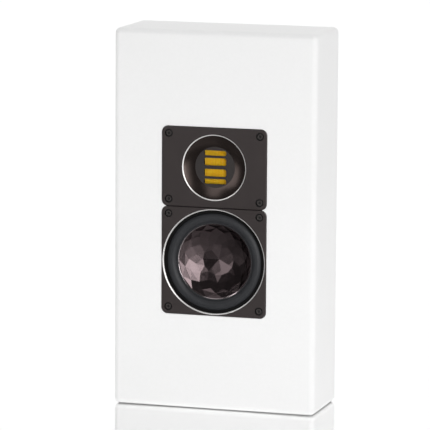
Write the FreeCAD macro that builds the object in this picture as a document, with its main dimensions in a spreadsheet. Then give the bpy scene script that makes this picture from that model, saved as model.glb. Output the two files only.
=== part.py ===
import FreeCAD
import Part
import math
import operator
import os
import types

import Sketcher

# Two-way wall speaker: a white lacquered cabinet with a pleated-foil tweeter above a faceted woofer cone.
# Millimetres. +Z is up, the front faces -Y, and the origin is the middle of the overall box's underside.

SIZES = {
    # Cabinet
    "cabinet_width": 222,
    "cabinet_height": 404,
    "cabinet_depth": 86,
    "edge_radius": 6,
    "rear_edge_radius": 1.5,
    "baffle_thickness": 19,
    "wall_thickness": 15,
    # Rear panel, let into a rebate that leaves a ledge of the walls' thickness
    "rear_panel_thickness": 12,
    "rear_ledge": 7,
    "panel_clearance": 0.3,
    "panel_screw_inset": 4.5,
    "panel_screw_end_inset": 12,
    "panel_screw_length": 25,
    # Wall bumpers
    "bumper_radius": 7,
    "bumper_height": 2.5,
    "bumper_inset": 22,
    # Keyhole hangers
    "hanger_spacing": 120,
    "hanger_drop": 62,
    "hanger_width": 24,
    "hanger_height": 46,
    "hanger_thickness": 1.5,
    "hanger_corner_radius": 3,
    "keyhole_radius": 4.75,
    "keyhole_slot_width": 5,
    "keyhole_slot_rise": 13,
    "keyhole_drop": 7,
    "keyhole_pocket_depth": 7,
    "keyhole_pocket_margin": 1.5,
    "hanger_screw_inset": 4.5,
    "hanger_screw_length": 9,
    # Driver plates
    "plate_proud": 0.8,
    "plate_width": 115,
    "plate_thickness": 5,
    "tweeter_plate_height": 85,
    "plate_gap": 0.5,
    "plate_corner_radius": 6.5,
    "plate_edge_bevel": 0.6,
    "recess_clearance": 0.4,
    "gasket_thickness": 1,
    # Socket screws of the plates
    "plate_screw_inset": 7.5,
    "counterbore_radius": 4.3,
    "counterbore_depth": 3,
    "socket_head_radius": 3,
    "socket_head_height": 2.5,
    "socket_width": 2.6,
    "socket_depth": 1.6,
    "shank_radius": 1.7,
    "shank_length": 15,
    "through_hole_clearance": 0.2,
    "pilot_clearance": 0.05,
    # Countersunk screws of the rear
    "wood_screw_head_radius": 3,
    "wood_screw_radius": 1.5,
    # Woofer
    "woofer_rim_width": 1.1,
    "woofer_bevel": 1.3,
    "surround_clearance": 0.3,
    "surround_outer_foot": 2.6,
    "surround_roll_width": 10.6,
    "surround_inner_foot": 1.2,
    "surround_thickness": 0.8,
    "surround_roll_drop": 1.3,
    "cone_lip_margin": 0.6,
    "cone_thickness": 0.8,
    "cone_bowl_depth": 15.3,
    "cone_collar_wall": 0.6,
    "cone_collar_length": 2.3,
    "basket_flange_thickness": 3,
    "basket_land_margin": 0.4,
    "basket_wall": 2.6,
    "basket_straight": 5,
    "basket_depth": 22,
    "basket_floor_radius": 42,
    "basket_floor_hole": 20,
    "basket_floor_thickness": 3,
    "basket_window_half_angle": 20,
    "cutout_clearance": 1,
    "spider_land_radius": 32,
    "spider_land_width": 3.5,
    "spider_land_height": 3.5,
    "spider_thickness": 0.6,
    "spider_ripple": 1.2,
    "coil_inner_radius": 12.3,
    "former_wall": 0.3,
    "winding_wall": 1,
    "winding_length": 7,
    "former_tail": 2,
    "coil_gap": 0.5,
    "pole_gap": 0.4,
    "top_plate_radius": 38,
    "top_plate_thickness": 5,
    "magnet_radius": 40,
    "magnet_inner_radius": 21,
    "magnet_thickness": 12,
    "yoke_thickness": 6,
    # Tweeter
    "flare_radius": 35,
    "flare_bevel": 1.3,
    "flare_bevel_depth": 1.1,
    "flare_bow": 60,
    "disc_radius": 21.8,
    "disc_recess": 4,
    "disc_seat": 2.2,
    "disc_clearance": 0.2,
    "pole_plate_thickness": 1.5,
    "slot_width": 24.5,
    "outer_slot_height": 5.5,
    "inner_slot_height": 8,
    "outer_bar": 2.5,
    "middle_bar": 3.7,
    "slot_corner_radius": 2.2,
    "boss_radius": 29,
    "boss_height": 3,
    "foil_frame_depth": 7,
    "foil_margin": 0.5,
    "foil_clearance": 0.1,
    "foil_set_back": 1.7,
    "foil_pleat_depth": 3.2,
    "foil_pitch": 1.6,
    "foil_fold_width": 0.3,
    "foil_wall_shift": 1,
    "magnet_bar_width": 5,
    "magnet_bar_length": 18,
    "magnet_bar_wall": 1.5,
    "felt_thickness": 3,
    "rear_cup_ledge": 2.6,
    "rear_cup_depth": 24,
    "rear_cup_floor": 3,
    "cup_screw_radius": 1.2,
    "cup_screw_head_radius": 2.1,
    "cup_screw_head_height": 1.8,
    # Tag boards of both drivers
    "tag_board_length": 22,
    "tag_board_width": 12,
    "tag_board_thickness": 1.6,
    "tag_width": 6.3,
    "tag_thickness": 0.8,
    "tag_length": 9,
    "tag_spacing": 11,
    # Cable terminals
    "terminal_drop": 62,
    "terminal_flange_width": 84,
    "terminal_flange_height": 62,
    "terminal_flange_thickness": 2.5,
    "terminal_cup_width": 66,
    "terminal_cup_height": 46,
    "terminal_cup_wall": 2,
    "terminal_cup_depth": 22,
    "terminal_cup_floor": 2.5,
    "terminal_corner_radius": 5,
    "terminal_screw_inset": 4.5,
    "terminal_screw_length": 8,
    "post_spacing": 26,
    "post_radius": 2.95,
    "post_collar_radius": 6,
    "post_collar_height": 2,
    "post_reach": 13.7,
    "post_tail": 5,
    "post_bore_clearance": 0.05,
    "nut_flats": 10,
    "nut_height": 4,
    "washer_radius": 5.8,
    "washer_thickness": 1.2,
    "washer_clearance": 0.25,
    "cap_radius": 6.5,
    "cap_length": 14,
    "cap_end": 2,
    "cap_bevel": 0.8,
    "cap_flute_radius": 0.8,
    # Crossover, on the inside of the rear panel
    "board_height": 60,
    "board_thickness": 1.6,
    "board_drop": 60,
    "board_hole_inset": 5,
    "board_part_gap": 3,
    "board_screw_head_radius": 2.8,
    "board_screw_head_height": 2,
    "standoff_radius": 3.5,
    "standoff_height": 8,
    "woofer_inductor_radius": 18,
    "woofer_inductor_bore": 8,
    "woofer_inductor_height": 16,
    "tweeter_inductor_radius": 11,
    "tweeter_inductor_bore": 5,
    "tweeter_inductor_height": 12,
    "film_capacitor_length": 24,
    "film_capacitor_width": 11,
    "film_capacitor_height": 18,
    "upright_capacitor_radius": 8,
    "upright_capacitor_height": 28,
    "resistor_length": 22,
    "resistor_width": 9,
    # Damping
    "damping_thickness": 25,
    "damping_clearance": 2,
}

# The cone's rings of corners, from the middle out: share of the bowl's radius, share of its depth
# above the middle, number of corners, and turn in half steps of the outer rings' fourteen corners.
FACET_RINGS = (
    (0.309, 0.102, 7, 0),
    (0.425, 0.157, 14, 0),
    (0.613, 0.325, 14, 1),
    (0.774, 0.525, 14, 0),
    (0.882, 0.730, 14, 1),
    (1.0, 1.0, 14, 0),
)
FACET_CORNERS = 14

BASKET_WINDOWS = 6
CAP_FLUTES = 12
SPIDER_RIPPLES = 4
PANEL_SCREW_ROWS = 4


# Lengths worked out from the sheet

OPERATIONS = {"+": operator.add, "-": operator.sub, "*": operator.mul, "/": operator.truediv}


class Formula:
    """A length worked out from the sheet: its text binds a feature and its value is the first guess."""

    def __init__(self, text, value):
        self.text = text
        self.value = value

    def __add__(self, other):
        return combine(self, "+", other)

    def __radd__(self, other):
        return combine(other, "+", self)

    def __sub__(self, other):
        return combine(self, "-", other)

    def __rsub__(self, other):
        return combine(other, "-", self)

    def __mul__(self, other):
        return combine(self, "*", other)

    def __rmul__(self, other):
        return combine(other, "*", self)

    def __truediv__(self, other):
        return combine(self, "/", other)

    def __neg__(self):
        return combine(0, "-", self)


def formula(number):
    if isinstance(number, Formula):
        return number
    return Formula(repr(float(number)), float(number))


def combine(left, sign, right):
    left = formula(left)
    right = formula(right)
    text = "(" + left.text + " " + sign + " " + right.text + ")"
    return Formula(text, OPERATIONS[sign](left.value, right.value))


def root(number):
    return Formula("sqrt(" + number.text + ")", math.sqrt(number.value))


def bind(thing, path, number):
    thing.setExpression(path, formula(number).text)


doc = FreeCAD.newDocument("wall_speaker")
sheet = doc.addObject("Spreadsheet::Sheet", "Sizes")
for row, (alias, number) in enumerate(SIZES.items(), start=1):
    sheet.set("A" + str(row), alias.replace("_", " "))
    sheet.set("B" + str(row), str(number))
    sheet.setAlias("B" + str(row), alias)
doc.recompute()
size = types.SimpleNamespace(**{name: Formula("Sizes." + name, value) for name, value in SIZES.items()})

NODES = []


def node(thing):
    """Marks a finished piece to be written out."""
    NODES.append(thing)
    return thing


# Sketches and features

def place(thing, x=0, y=0, z=0):
    bind(thing, "Placement.Base.x", x)
    bind(thing, "Placement.Base.y", y)
    bind(thing, "Placement.Base.z", z)


def new_body(label, x=0, y=0, z=0):
    body = doc.addObject("PartDesign::Body", label)
    body.Label = label
    place(body, x, y, z)
    return body


def origin_part(body, role):
    return next(feature for feature in body.Origin.OriginFeatures if feature.Role == role)


def new_sketch(body, name, role="XZ_Plane", level=0):
    """A sketch on an origin plane of the body, or on a plane parallel to XZ at the given y level."""
    sketch = body.newObject("Sketcher::SketchObject", body.Name + "_" + name)
    sketch.AttachmentSupport = [(origin_part(body, role), "")]
    sketch.MapMode = "FlatFace"
    bind(sketch, "AttachmentOffset.Base.z", -formula(level))
    return sketch


def fix_point(sketch, geometry, point, x, y):
    for kind, number in (("DistanceX", x), ("DistanceY", y)):
        number = formula(number)
        index = sketch.addConstraint(Sketcher.Constraint(kind, -1, 1, geometry, point, number.value))
        bind(sketch, "Constraints[" + str(index) + "]", number)


def fix_radius(sketch, geometry, radius):
    radius = formula(radius)
    index = sketch.addConstraint(Sketcher.Constraint("Radius", geometry, radius.value))
    bind(sketch, "Constraints[" + str(index) + "]", radius)


def draw(sketch, path):
    """Draws a closed path. A stop is (x, y), or (x, y, radius, via) where an arc through via leads to it."""
    spots = [FreeCAD.Vector(formula(stop[0]).value, formula(stop[1]).value, 0) for stop in path]
    lines = []
    ends = []
    for number, stop in enumerate(path):
        start = spots[number - 1]
        end = spots[number]
        if len(stop) == 2:
            curve = Part.LineSegment(start, end)
            last = 2
        else:
            # A sketch's arcs run counter-clockwise, so an arc the other way is drawn from its end.
            via = FreeCAD.Vector(formula(stop[3][0]).value, formula(stop[3][1]).value, 0)
            forwards = (via - start).cross(end - via).z > 0
            curve = Part.Arc(start, via, end) if forwards else Part.Arc(end, via, start)
            last = 2 if forwards else 1
        lines.append(sketch.addGeometry(curve, False))
        ends.append(last)
    for number, line in enumerate(lines):
        start_point = 3 - ends[number]
        meeting = Sketcher.Constraint("Coincident", lines[number - 1], ends[number - 1], line, start_point)
        sketch.addConstraint(meeting)
    for number, stop in enumerate(path):
        fix_point(sketch, lines[number], ends[number], stop[0], stop[1])
        if len(stop) > 2:
            fix_radius(sketch, lines[number], stop[2])
    return sketch


def draw_circle(sketch, x, y, radius):
    centre = FreeCAD.Vector(formula(x).value, formula(y).value, 0)
    circle = Part.Circle(centre, FreeCAD.Vector(0, 0, 1), formula(radius).value)
    geometry = sketch.addGeometry(circle, False)
    fix_point(sketch, geometry, 3, x, y)
    fix_radius(sketch, geometry, radius)
    return sketch


def rectangle(x, y, width, height):
    return [
        (x - width / 2, y - height / 2),
        (x + width / 2, y - height / 2),
        (x + width / 2, y + height / 2),
        (x - width / 2, y + height / 2),
    ]


def rounded_rectangle(x, y, width, height, radius):
    path = []
    sagitta = radius * (1 - math.sqrt(0.5))
    for right, up in ((-1, -1), (1, -1), (1, 1), (-1, 1)):
        corner_x = x + right * width / 2
        corner_y = y + up * height / 2
        along = (corner_x - right * radius, corner_y)
        across = (corner_x, corner_y - up * radius)
        via = (corner_x - right * sagitta, corner_y - up * sagitta)
        first, last = (across, along) if right * up > 0 else (along, across)
        path.append(first)
        path.append((last[0], last[1], radius, via))
    return path


def add(body, kind, name):
    return body.newObject("PartDesign::" + kind, body.Name + "_" + name)


def pad(body, name, sketch, length):
    """Pads backwards from a sketch parallel to XZ."""
    feature = add(body, "Pad", name)
    feature.Profile = sketch
    feature.Reversed = True
    bind(feature, "Length", length)
    return feature


def pocket(body, name, sketch, length):
    """Cuts backwards from a sketch parallel to XZ."""
    feature = add(body, "Pocket", name)
    feature.Profile = sketch
    bind(feature, "Length", length)
    return feature


def revolve(body, name, path, kind="Revolution"):
    """Turns a path of (radius, depth) stops round the body's Y axis."""
    sketch = draw(new_sketch(body, name + "_profile", "XY_Plane"), path)
    feature = add(body, kind, name)
    feature.Profile = sketch
    feature.ReferenceAxis = (sketch, ["V_Axis"])
    feature.Angle = 360
    return feature


def turned(label, path, x=0, y=0, z=0):
    body = new_body(label, x, y, z)
    revolve(body, "turn", path)
    return body


def ring(label, inner, outer, front, back, x=0, y=0, z=0):
    return turned(label, [(inner, front), (outer, front), (outer, back), (inner, back)], x, y, z)


def rod(label, radius, front, back, x=0, y=0, z=0):
    return turned(label, [(0, front), (radius, front), (radius, back), (0, back)], x, y, z)


def holes(body, name, level, depth, spots, radius):
    sketch = new_sketch(body, name + "_circles", level=level)
    for x, z in spots:
        draw_circle(sketch, x, z, radius)
    return pocket(body, name, sketch, depth)


def edges_of(shape, test):
    return ["Edge" + str(number) for number, edge in enumerate(shape.Edges, start=1) if test(edge)]


def at_level(edge, level):
    return all(abs(vertex.Y - level) < 1e-6 for vertex in edge.Vertexes)


def soften(body, kind, name, number, test):
    """Fillets or chamfers the edges of the body's last feature that pass the test."""
    doc.recompute()
    base = body.Tip
    feature = add(body, kind, name)
    feature.Base = (base, edges_of(base.Shape, test))
    bind(feature, "Radius" if kind == "Fillet" else "Size", number)
    return feature


def box(label, x, y, z):
    """A plain block between pairs of limits."""
    block = doc.addObject("Part::Box", label)
    block.Label = label
    for path, (low, high) in (("Length", x), ("Width", y), ("Height", z)):
        bind(block, path, formula(high) - low)
    place(block, x[0], y[0], z[0])
    return block


def group(label, pattern, spots):
    """One node of equal pieces, each a link to the pattern piece."""
    links = []
    for number, (x, y, z) in enumerate(spots):
        link = doc.addObject("App::Link", label + "_" + str(number))
        link.LinkedObject = pattern
        link.LinkTransform = True
        place(link, x, y, z)
        links.append(link)
    compound = doc.addObject("Part::Compound", label)
    compound.Label = label
    compound.Links = links
    return node(compound)


def four(x, y):
    return [(right * x, up * y) for right in (-1, 1) for up in (-1, 1)]


# Places that several pieces share

FACE_Y = -(size.plate_proud + size.cabinet_depth + size.bumper_height) / 2
FRONT_Y = FACE_Y + size.plate_proud
BACK_Y = FRONT_Y + size.cabinet_depth
PANEL_Y = BACK_Y - size.rear_panel_thickness

PLATES_BOTTOM = (size.cabinet_height - size.plate_width - size.plate_gap - size.tweeter_plate_height) / 2
WOOFER_Z = PLATES_BOTTOM + size.plate_width / 2
TWEETER_Z = PLATES_BOTTOM + size.plate_width + size.plate_gap + size.tweeter_plate_height / 2
WOOFER_SCREWS = four(
    size.plate_width / 2 - size.plate_screw_inset, size.plate_width / 2 - size.plate_screw_inset
)
TWEETER_SCREWS = four(
    size.plate_width / 2 - size.plate_screw_inset, size.tweeter_plate_height / 2 - size.plate_screw_inset
)

# Depths behind the plates' front
FLANGE_BACK = size.plate_thickness + size.basket_flange_thickness
WOOFER_SEAT = FLANGE_BACK + size.gasket_thickness
TWEETER_SEAT = size.plate_thickness + size.gasket_thickness
BAFFLE_BACK = size.plate_proud + size.baffle_thickness
SHANK_END = size.counterbore_depth + size.shank_length
HOLE_RADIUS = size.shank_radius + size.through_hole_clearance
PILOT_RADIUS = size.shank_radius + size.pilot_clearance
WOOD_PILOT_RADIUS = size.wood_screw_radius + size.pilot_clearance

# Woofer radii, from the plate's edge inwards
WOOFER_RING = size.plate_width / 2 - size.woofer_rim_width
WOOFER_OPENING = WOOFER_RING - size.woofer_bevel
SURROUND_RADIUS = WOOFER_OPENING - size.surround_clearance
ROLL_OUTER = SURROUND_RADIUS - size.surround_outer_foot
ROLL_INNER = ROLL_OUTER - size.surround_roll_width
SURROUND_BORE = ROLL_INNER - size.surround_inner_foot
BOWL_RADIUS = SURROUND_BORE - size.cone_lip_margin
BASKET_BORE = ROLL_OUTER - size.basket_land_margin
BASKET_RADIUS = BASKET_BORE + size.basket_wall
WOOFER_CUTOUT = BASKET_RADIUS + size.cutout_clearance
FORMER_RADIUS = size.coil_inner_radius + size.former_wall
COIL_RADIUS = FORMER_RADIUS + size.winding_wall

# Woofer depths
LIP_FRONT = size.plate_thickness
BOWL_MIDDLE = LIP_FRONT + size.cone_bowl_depth
COLLAR_END = BOWL_MIDDLE + size.cone_collar_length
BASKET_END = FLANGE_BACK + size.basket_depth
TOP_PLATE_END = BASKET_END + size.top_plate_thickness
MAGNET_END = TOP_PLATE_END + size.magnet_thickness
YOKE_END = MAGNET_END + size.yoke_thickness
WINDING_START = BASKET_END + (size.top_plate_thickness - size.winding_length) / 2
WINDING_END = WINDING_START + size.winding_length
SPIDER_LAND = BASKET_END - size.basket_floor_thickness - size.spider_land_height

# Tweeter radii and depths
DISC_SEAT_RADIUS = size.disc_radius + size.disc_seat
STACK_BORE = DISC_SEAT_RADIUS + size.disc_clearance
TWEETER_CUTOUT = size.boss_radius + size.cutout_clearance
BOSS_END = size.plate_thickness + size.boss_height
FRONT_POLE_END = size.disc_recess + size.pole_plate_thickness
FRAME_END = FRONT_POLE_END + size.foil_frame_depth
REAR_POLE_END = FRAME_END + size.pole_plate_thickness
REAR_CUP_END = BOSS_END + size.rear_cup_depth
SLOTS_HEIGHT = 2 * (size.outer_slot_height + size.inner_slot_height + size.outer_bar) + size.middle_bar
FOIL_HEIGHT = SLOTS_HEIGHT + 2 * size.foil_margin
FOIL_WIDTH = size.slot_width + 2 * size.foil_margin

# Rear panel and terminals
PANEL_WIDTH = size.cabinet_width - 2 * (size.wall_thickness - size.rear_ledge) - 2 * size.panel_clearance
PANEL_HEIGHT = size.cabinet_height - 2 * (size.wall_thickness - size.rear_ledge) - 2 * size.panel_clearance
MIDDLE_Z = size.cabinet_height / 2
PANEL_SCREWS = [
    (side * (PANEL_WIDTH / 2 - size.panel_screw_inset),
     MIDDLE_Z + (PANEL_HEIGHT / 2 - size.panel_screw_end_inset) * (2 * row / (PANEL_SCREW_ROWS - 1) - 1))
    for side in (-1, 1)
    for row in range(PANEL_SCREW_ROWS)
]
BUMPERS = [(x, MIDDLE_Z + z) for x, z in four(
    PANEL_WIDTH / 2 - size.bumper_inset, PANEL_HEIGHT / 2 - size.bumper_inset)]
HANGER_Z = size.cabinet_height - size.hanger_drop
HANGER_SCREW_Z = size.hanger_height / 2 - size.hanger_screw_inset
TERMINAL_Z = size.terminal_drop
TERMINAL_SCREWS = four(
    size.terminal_flange_width / 2 - size.terminal_screw_inset,
    size.terminal_flange_height / 2 - size.terminal_screw_inset,
)
CUP_FLOOR_Y = BACK_Y - size.terminal_cup_depth
BOARD_Z = size.cabinet_height - size.board_drop
BOARD_WIDTH = 2 * (
    size.board_hole_inset + size.standoff_radius + size.woofer_inductor_radius + size.tweeter_inductor_radius
    + size.board_part_gap) + size.film_capacitor_length
BOARD_HOLES = four(BOARD_WIDTH / 2 - size.board_hole_inset, size.board_height / 2 - size.board_hole_inset)


def cabinet():
    body = new_body("cabinet_shell", 0, FRONT_Y, 0)
    outer = draw(new_sketch(body, "outer"), rectangle(0, MIDDLE_Z, size.cabinet_width, size.cabinet_height))
    pad(body, "block", outer, size.cabinet_depth)
    soften(body, "Fillet", "front_edges", size.edge_radius,
           lambda edge: not at_level(edge, SIZES["cabinet_depth"]))
    soften(body, "Fillet", "rear_edges", size.rear_edge_radius,
           lambda edge: at_level(edge, SIZES["cabinet_depth"]))
    inner = rectangle(
        0, MIDDLE_Z, size.cabinet_width - 2 * size.wall_thickness,
        size.cabinet_height - 2 * size.wall_thickness
    )
    cavity = draw(new_sketch(body, "inner", level=size.baffle_thickness), inner)
    pocket(body, "cavity", cavity, size.cabinet_depth - size.baffle_thickness)
    rebate_level = size.cabinet_depth - size.rear_panel_thickness
    rebate = draw(new_sketch(body, "rebate_outline", level=rebate_level), rectangle(
        0, MIDDLE_Z, PANEL_WIDTH + 2 * size.panel_clearance, PANEL_HEIGHT + 2 * size.panel_clearance))
    pocket(body, "rebate", rebate, size.rear_panel_thickness)
    plates = (
        ("woofer", WOOFER_Z, size.plate_width, WOOFER_SEAT, WOOFER_CUTOUT, WOOFER_SCREWS),
        ("tweeter", TWEETER_Z, size.tweeter_plate_height, TWEETER_SEAT, TWEETER_CUTOUT, TWEETER_SCREWS),
    )
    for name, z, height, seat, cutout, screws in plates:
        recess = draw(new_sketch(body, name + "_outline"), rounded_rectangle(
            0, z, size.plate_width + 2 * size.recess_clearance, height + 2 * size.recess_clearance,
            size.plate_corner_radius + size.recess_clearance))
        pocket(body, name + "_recess", recess, seat - size.plate_proud)
        holes(body, name + "_cutout", 0, size.baffle_thickness, [(0, z)], cutout)
        pilots = [(x, z + up) for x, up in screws]
        holes(body, name + "_pilots", 0, SHANK_END - size.plate_proud + size.pilot_clearance, pilots,
              PILOT_RADIUS)
    pilot_depth = size.panel_screw_length - size.rear_panel_thickness + size.pilot_clearance
    holes(body, "rear_pilots", rebate_level - pilot_depth, pilot_depth, PANEL_SCREWS, WOOD_PILOT_RADIUS)
    return node(body)


def countersunk_holes(body, name, level, depth, spots, radius, head_radius):
    """Holes through to the back face at y = 0, with conical mouths there."""
    holes(body, name, level, depth, spots, radius)
    soften(body, "Chamfer", name + "_mouths", head_radius - radius,
           lambda edge: at_level(edge, 0) and is_circle(edge, formula(radius).value))


def is_circle(edge, radius):
    return isinstance(edge.Curve, Part.Circle) and abs(edge.Curve.Radius - radius) < 1e-6


def wood_screw(label, length):
    """A countersunk screw whose head lies in the plane y = 0 and whose point looks to -Y."""
    head = size.wood_screw_head_radius
    shank = size.wood_screw_radius
    return turned(label, [
        (0, 0), (head, 0), (shank, shank - head), (shank, shank - length), (0, -length)])


def rear_panel():
    body = new_body("rear_panel", 0, BACK_Y, 0)
    outline = draw(new_sketch(body, "outline", level=-size.rear_panel_thickness), rectangle(
        0, MIDDLE_Z, PANEL_WIDTH, PANEL_HEIGHT))
    pad(body, "board", outline, size.rear_panel_thickness)
    for name, side in (("left", -1), ("right", 1)):
        x = side * size.hanger_spacing / 2
        sketch = new_sketch(body, name + "_hanger_outline", level=-size.hanger_thickness)
        recess = draw(sketch, rounded_rectangle(
            x, HANGER_Z, size.hanger_width + 2 * size.panel_clearance,
            size.hanger_height + 2 * size.panel_clearance, size.hanger_corner_radius))
        pocket(body, name + "_hanger_recess", recess, size.hanger_thickness)
        depth = size.hanger_thickness + size.keyhole_pocket_depth
        reach = size.keyhole_radius + size.keyhole_pocket_margin
        bottom = HANGER_Z - size.keyhole_drop - reach
        top = HANGER_Z - size.keyhole_drop + size.keyhole_slot_rise + reach
        room = draw(new_sketch(body, name + "_keyhole_outline", level=-depth), rectangle(
            x, (bottom + top) / 2, 2 * reach, top - bottom))
        pocket(body, name + "_keyhole_room", room, depth)
        spots = [(x, HANGER_Z + up * HANGER_SCREW_Z) for up in (-1, 1)]
        holes(body, name + "_hanger_pilots", -size.hanger_screw_length - size.pilot_clearance,
              size.hanger_screw_length, spots, WOOD_PILOT_RADIUS)
    sketch = new_sketch(body, "flange_outline", level=-size.terminal_flange_thickness)
    flange = draw(sketch, rounded_rectangle(
        0, TERMINAL_Z, size.terminal_flange_width + 2 * size.panel_clearance,
        size.terminal_flange_height + 2 * size.panel_clearance,
        size.terminal_corner_radius + size.panel_clearance))
    pocket(body, "flange_recess", flange, size.terminal_flange_thickness)
    cup = draw(new_sketch(body, "cup_outline", level=-size.rear_panel_thickness), rounded_rectangle(
        0, TERMINAL_Z, size.terminal_cup_width + 2 * size.panel_clearance,
        size.terminal_cup_height + 2 * size.panel_clearance,
        size.terminal_corner_radius + size.panel_clearance))
    pocket(body, "cup_cutout", cup, size.rear_panel_thickness)
    holes(body, "cup_pilots", -size.terminal_screw_length - size.pilot_clearance, size.terminal_screw_length,
          [(x, TERMINAL_Z + z) for x, z in TERMINAL_SCREWS], WOOD_PILOT_RADIUS)
    countersunk_holes(body, "screw_holes", -size.rear_panel_thickness, size.rear_panel_thickness,
                      PANEL_SCREWS, WOOD_PILOT_RADIUS, size.wood_screw_head_radius + size.pilot_clearance)
    node(body)
    screw = wood_screw("panel_screw", size.panel_screw_length)
    group("rear_panel_screws", screw, [(x, BACK_Y, z) for x, z in PANEL_SCREWS])
    bumper = rod("bumper", size.bumper_radius, 0, size.bumper_height)
    group("wall_bumpers", bumper, [(x, BACK_Y, z) for x, z in BUMPERS])


def hangers():
    body = new_body("hanger")
    outline = draw(new_sketch(body, "outline", level=-size.hanger_thickness), rounded_rectangle(
        0, 0, size.hanger_width, size.hanger_height, size.hanger_corner_radius))
    pad(body, "plate", outline, size.hanger_thickness)
    level = -size.hanger_thickness
    entry = -size.keyhole_drop
    top = entry + size.keyhole_slot_rise
    holes(body, "entry", level, size.hanger_thickness, [(0, entry)], size.keyhole_radius)
    slot = draw(new_sketch(body, "slot_outline", level=level), rectangle(
        0, (entry + top) / 2, size.keyhole_slot_width, top - entry))
    pocket(body, "slot", slot, size.hanger_thickness)
    holes(body, "slot_end", level, size.hanger_thickness, [(0, top)], size.keyhole_slot_width / 2)
    spots = [(0, up * HANGER_SCREW_Z) for up in (-1, 1)]
    holes(body, "screw_holes", level, size.hanger_thickness, spots, WOOD_PILOT_RADIUS)
    countersink = [
        (0, 0), (size.wood_screw_head_radius + size.pilot_clearance, 0),
        (WOOD_PILOT_RADIUS, size.wood_screw_radius - size.wood_screw_head_radius),
        (0, size.wood_screw_radius - size.wood_screw_head_radius)]
    tool = turned("hanger_countersink", countersink)
    seats = doc.addObject("Part::Compound", "hanger_seats")
    links = []
    for number, up in enumerate((-1, 1)):
        link = doc.addObject("App::Link", "hanger_seat_" + str(number))
        link.LinkedObject = tool
        link.LinkTransform = True
        place(link, 0, 0, up * HANGER_SCREW_Z)
        links.append(link)
    seats.Links = links
    plate = doc.addObject("Part::Cut", "hanger_plate")
    plate.Base = body
    plate.Tool = seats
    sides = [side * size.hanger_spacing / 2 for side in (-1, 1)]
    group("hanger_plates", plate, [(x, BACK_Y, HANGER_Z) for x in sides])
    screw = wood_screw("hanger_screw", size.hanger_screw_length)
    group("hanger_screws", screw, [
        (x, BACK_Y, HANGER_Z + up * HANGER_SCREW_Z) for x in sides for up in (-1, 1)])


def damping():
    wall = size.cabinet_width / 2 - size.wall_thickness
    z = (size.wall_thickness + size.damping_clearance,
         size.cabinet_height - size.wall_thickness - size.damping_clearance)
    y = (FACE_Y + BAFFLE_BACK + size.damping_clearance, PANEL_Y - size.damping_clearance)
    node(box("left_damping_pad", (-wall, size.damping_thickness - wall), y, z))
    node(box("right_damping_pad", (wall - size.damping_thickness, wall), y, z))


def socket_screw():
    """A cap screw for the driver plates, its seat at the bottom of the counterbore."""
    seat = size.counterbore_depth
    top = seat - size.socket_head_height
    body = turned("socket_screw_blank", [
        (0, top), (size.socket_head_radius, top), (size.socket_head_radius, seat),
        (size.shank_radius, seat), (size.shank_radius, SHANK_END - size.shank_radius), (0, SHANK_END)])
    socket = hexagon("socket_screw_socket", size.socket_width, size.socket_depth, top)
    screw = doc.addObject("Part::Cut", "socket_screw")
    screw.Base = body
    screw.Tool = socket
    return screw


def hexagon(label, flats, height, front):
    """A six-sided prism along +Y from the front level."""
    prism = doc.addObject("Part::Prism", label)
    prism.Polygon = 6
    bind(prism, "Circumradius", flats / math.sqrt(3))
    bind(prism, "Height", height)
    prism.Placement.Rotation = FreeCAD.Rotation(FreeCAD.Vector(1, 0, 0), -90)
    bind(prism, "Placement.Base.y", front)
    return prism


def plate_blank(label, z, height, screws):
    """A driver plate with bevelled edges and counterbored holes."""
    body = new_body(label, 0, FACE_Y, z)
    outline = draw(new_sketch(body, "outline"), rounded_rectangle(
        0, 0, size.plate_width, height, size.plate_corner_radius))
    pad(body, "plate", outline, size.plate_thickness)
    soften(body, "Chamfer", "edge_bevel", size.plate_edge_bevel, lambda edge: at_level(edge, 0))
    holes(body, "counterbores", 0, size.counterbore_depth, screws, size.counterbore_radius)
    holes(body, "screw_holes", size.counterbore_depth, size.plate_thickness - size.counterbore_depth,
          screws, HOLE_RADIUS)
    return body


def gasket(label, z, height, front, bore, screws):
    body = new_body(label, 0, FACE_Y, z)
    outline = draw(new_sketch(body, "outline", level=front), rounded_rectangle(
        0, 0, size.plate_width, height, size.plate_corner_radius))
    pad(body, "sheet", outline, size.gasket_thickness)
    holes(body, "bore", front, size.gasket_thickness, [(0, 0)], bore)
    holes(body, "screw_holes", front, size.gasket_thickness, screws, HOLE_RADIUS)
    return node(body)


def woofer_front(screw):
    plate = plate_blank("woofer_faceplate", WOOFER_Z, size.plate_width, WOOFER_SCREWS)
    revolve(plate, "opening", [
        (0, 0), (WOOFER_RING, 0), (WOOFER_OPENING, size.woofer_bevel),
        (WOOFER_OPENING, size.plate_thickness), (0, size.plate_thickness)], "Groove")
    node(plate)
    gasket("woofer_gasket", WOOFER_Z, size.plate_width, FLANGE_BACK, WOOFER_CUTOUT, WOOFER_SCREWS)
    group("woofer_screws", screw, [(x, FACE_Y, WOOFER_Z + z) for x, z in WOOFER_SCREWS])


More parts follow.
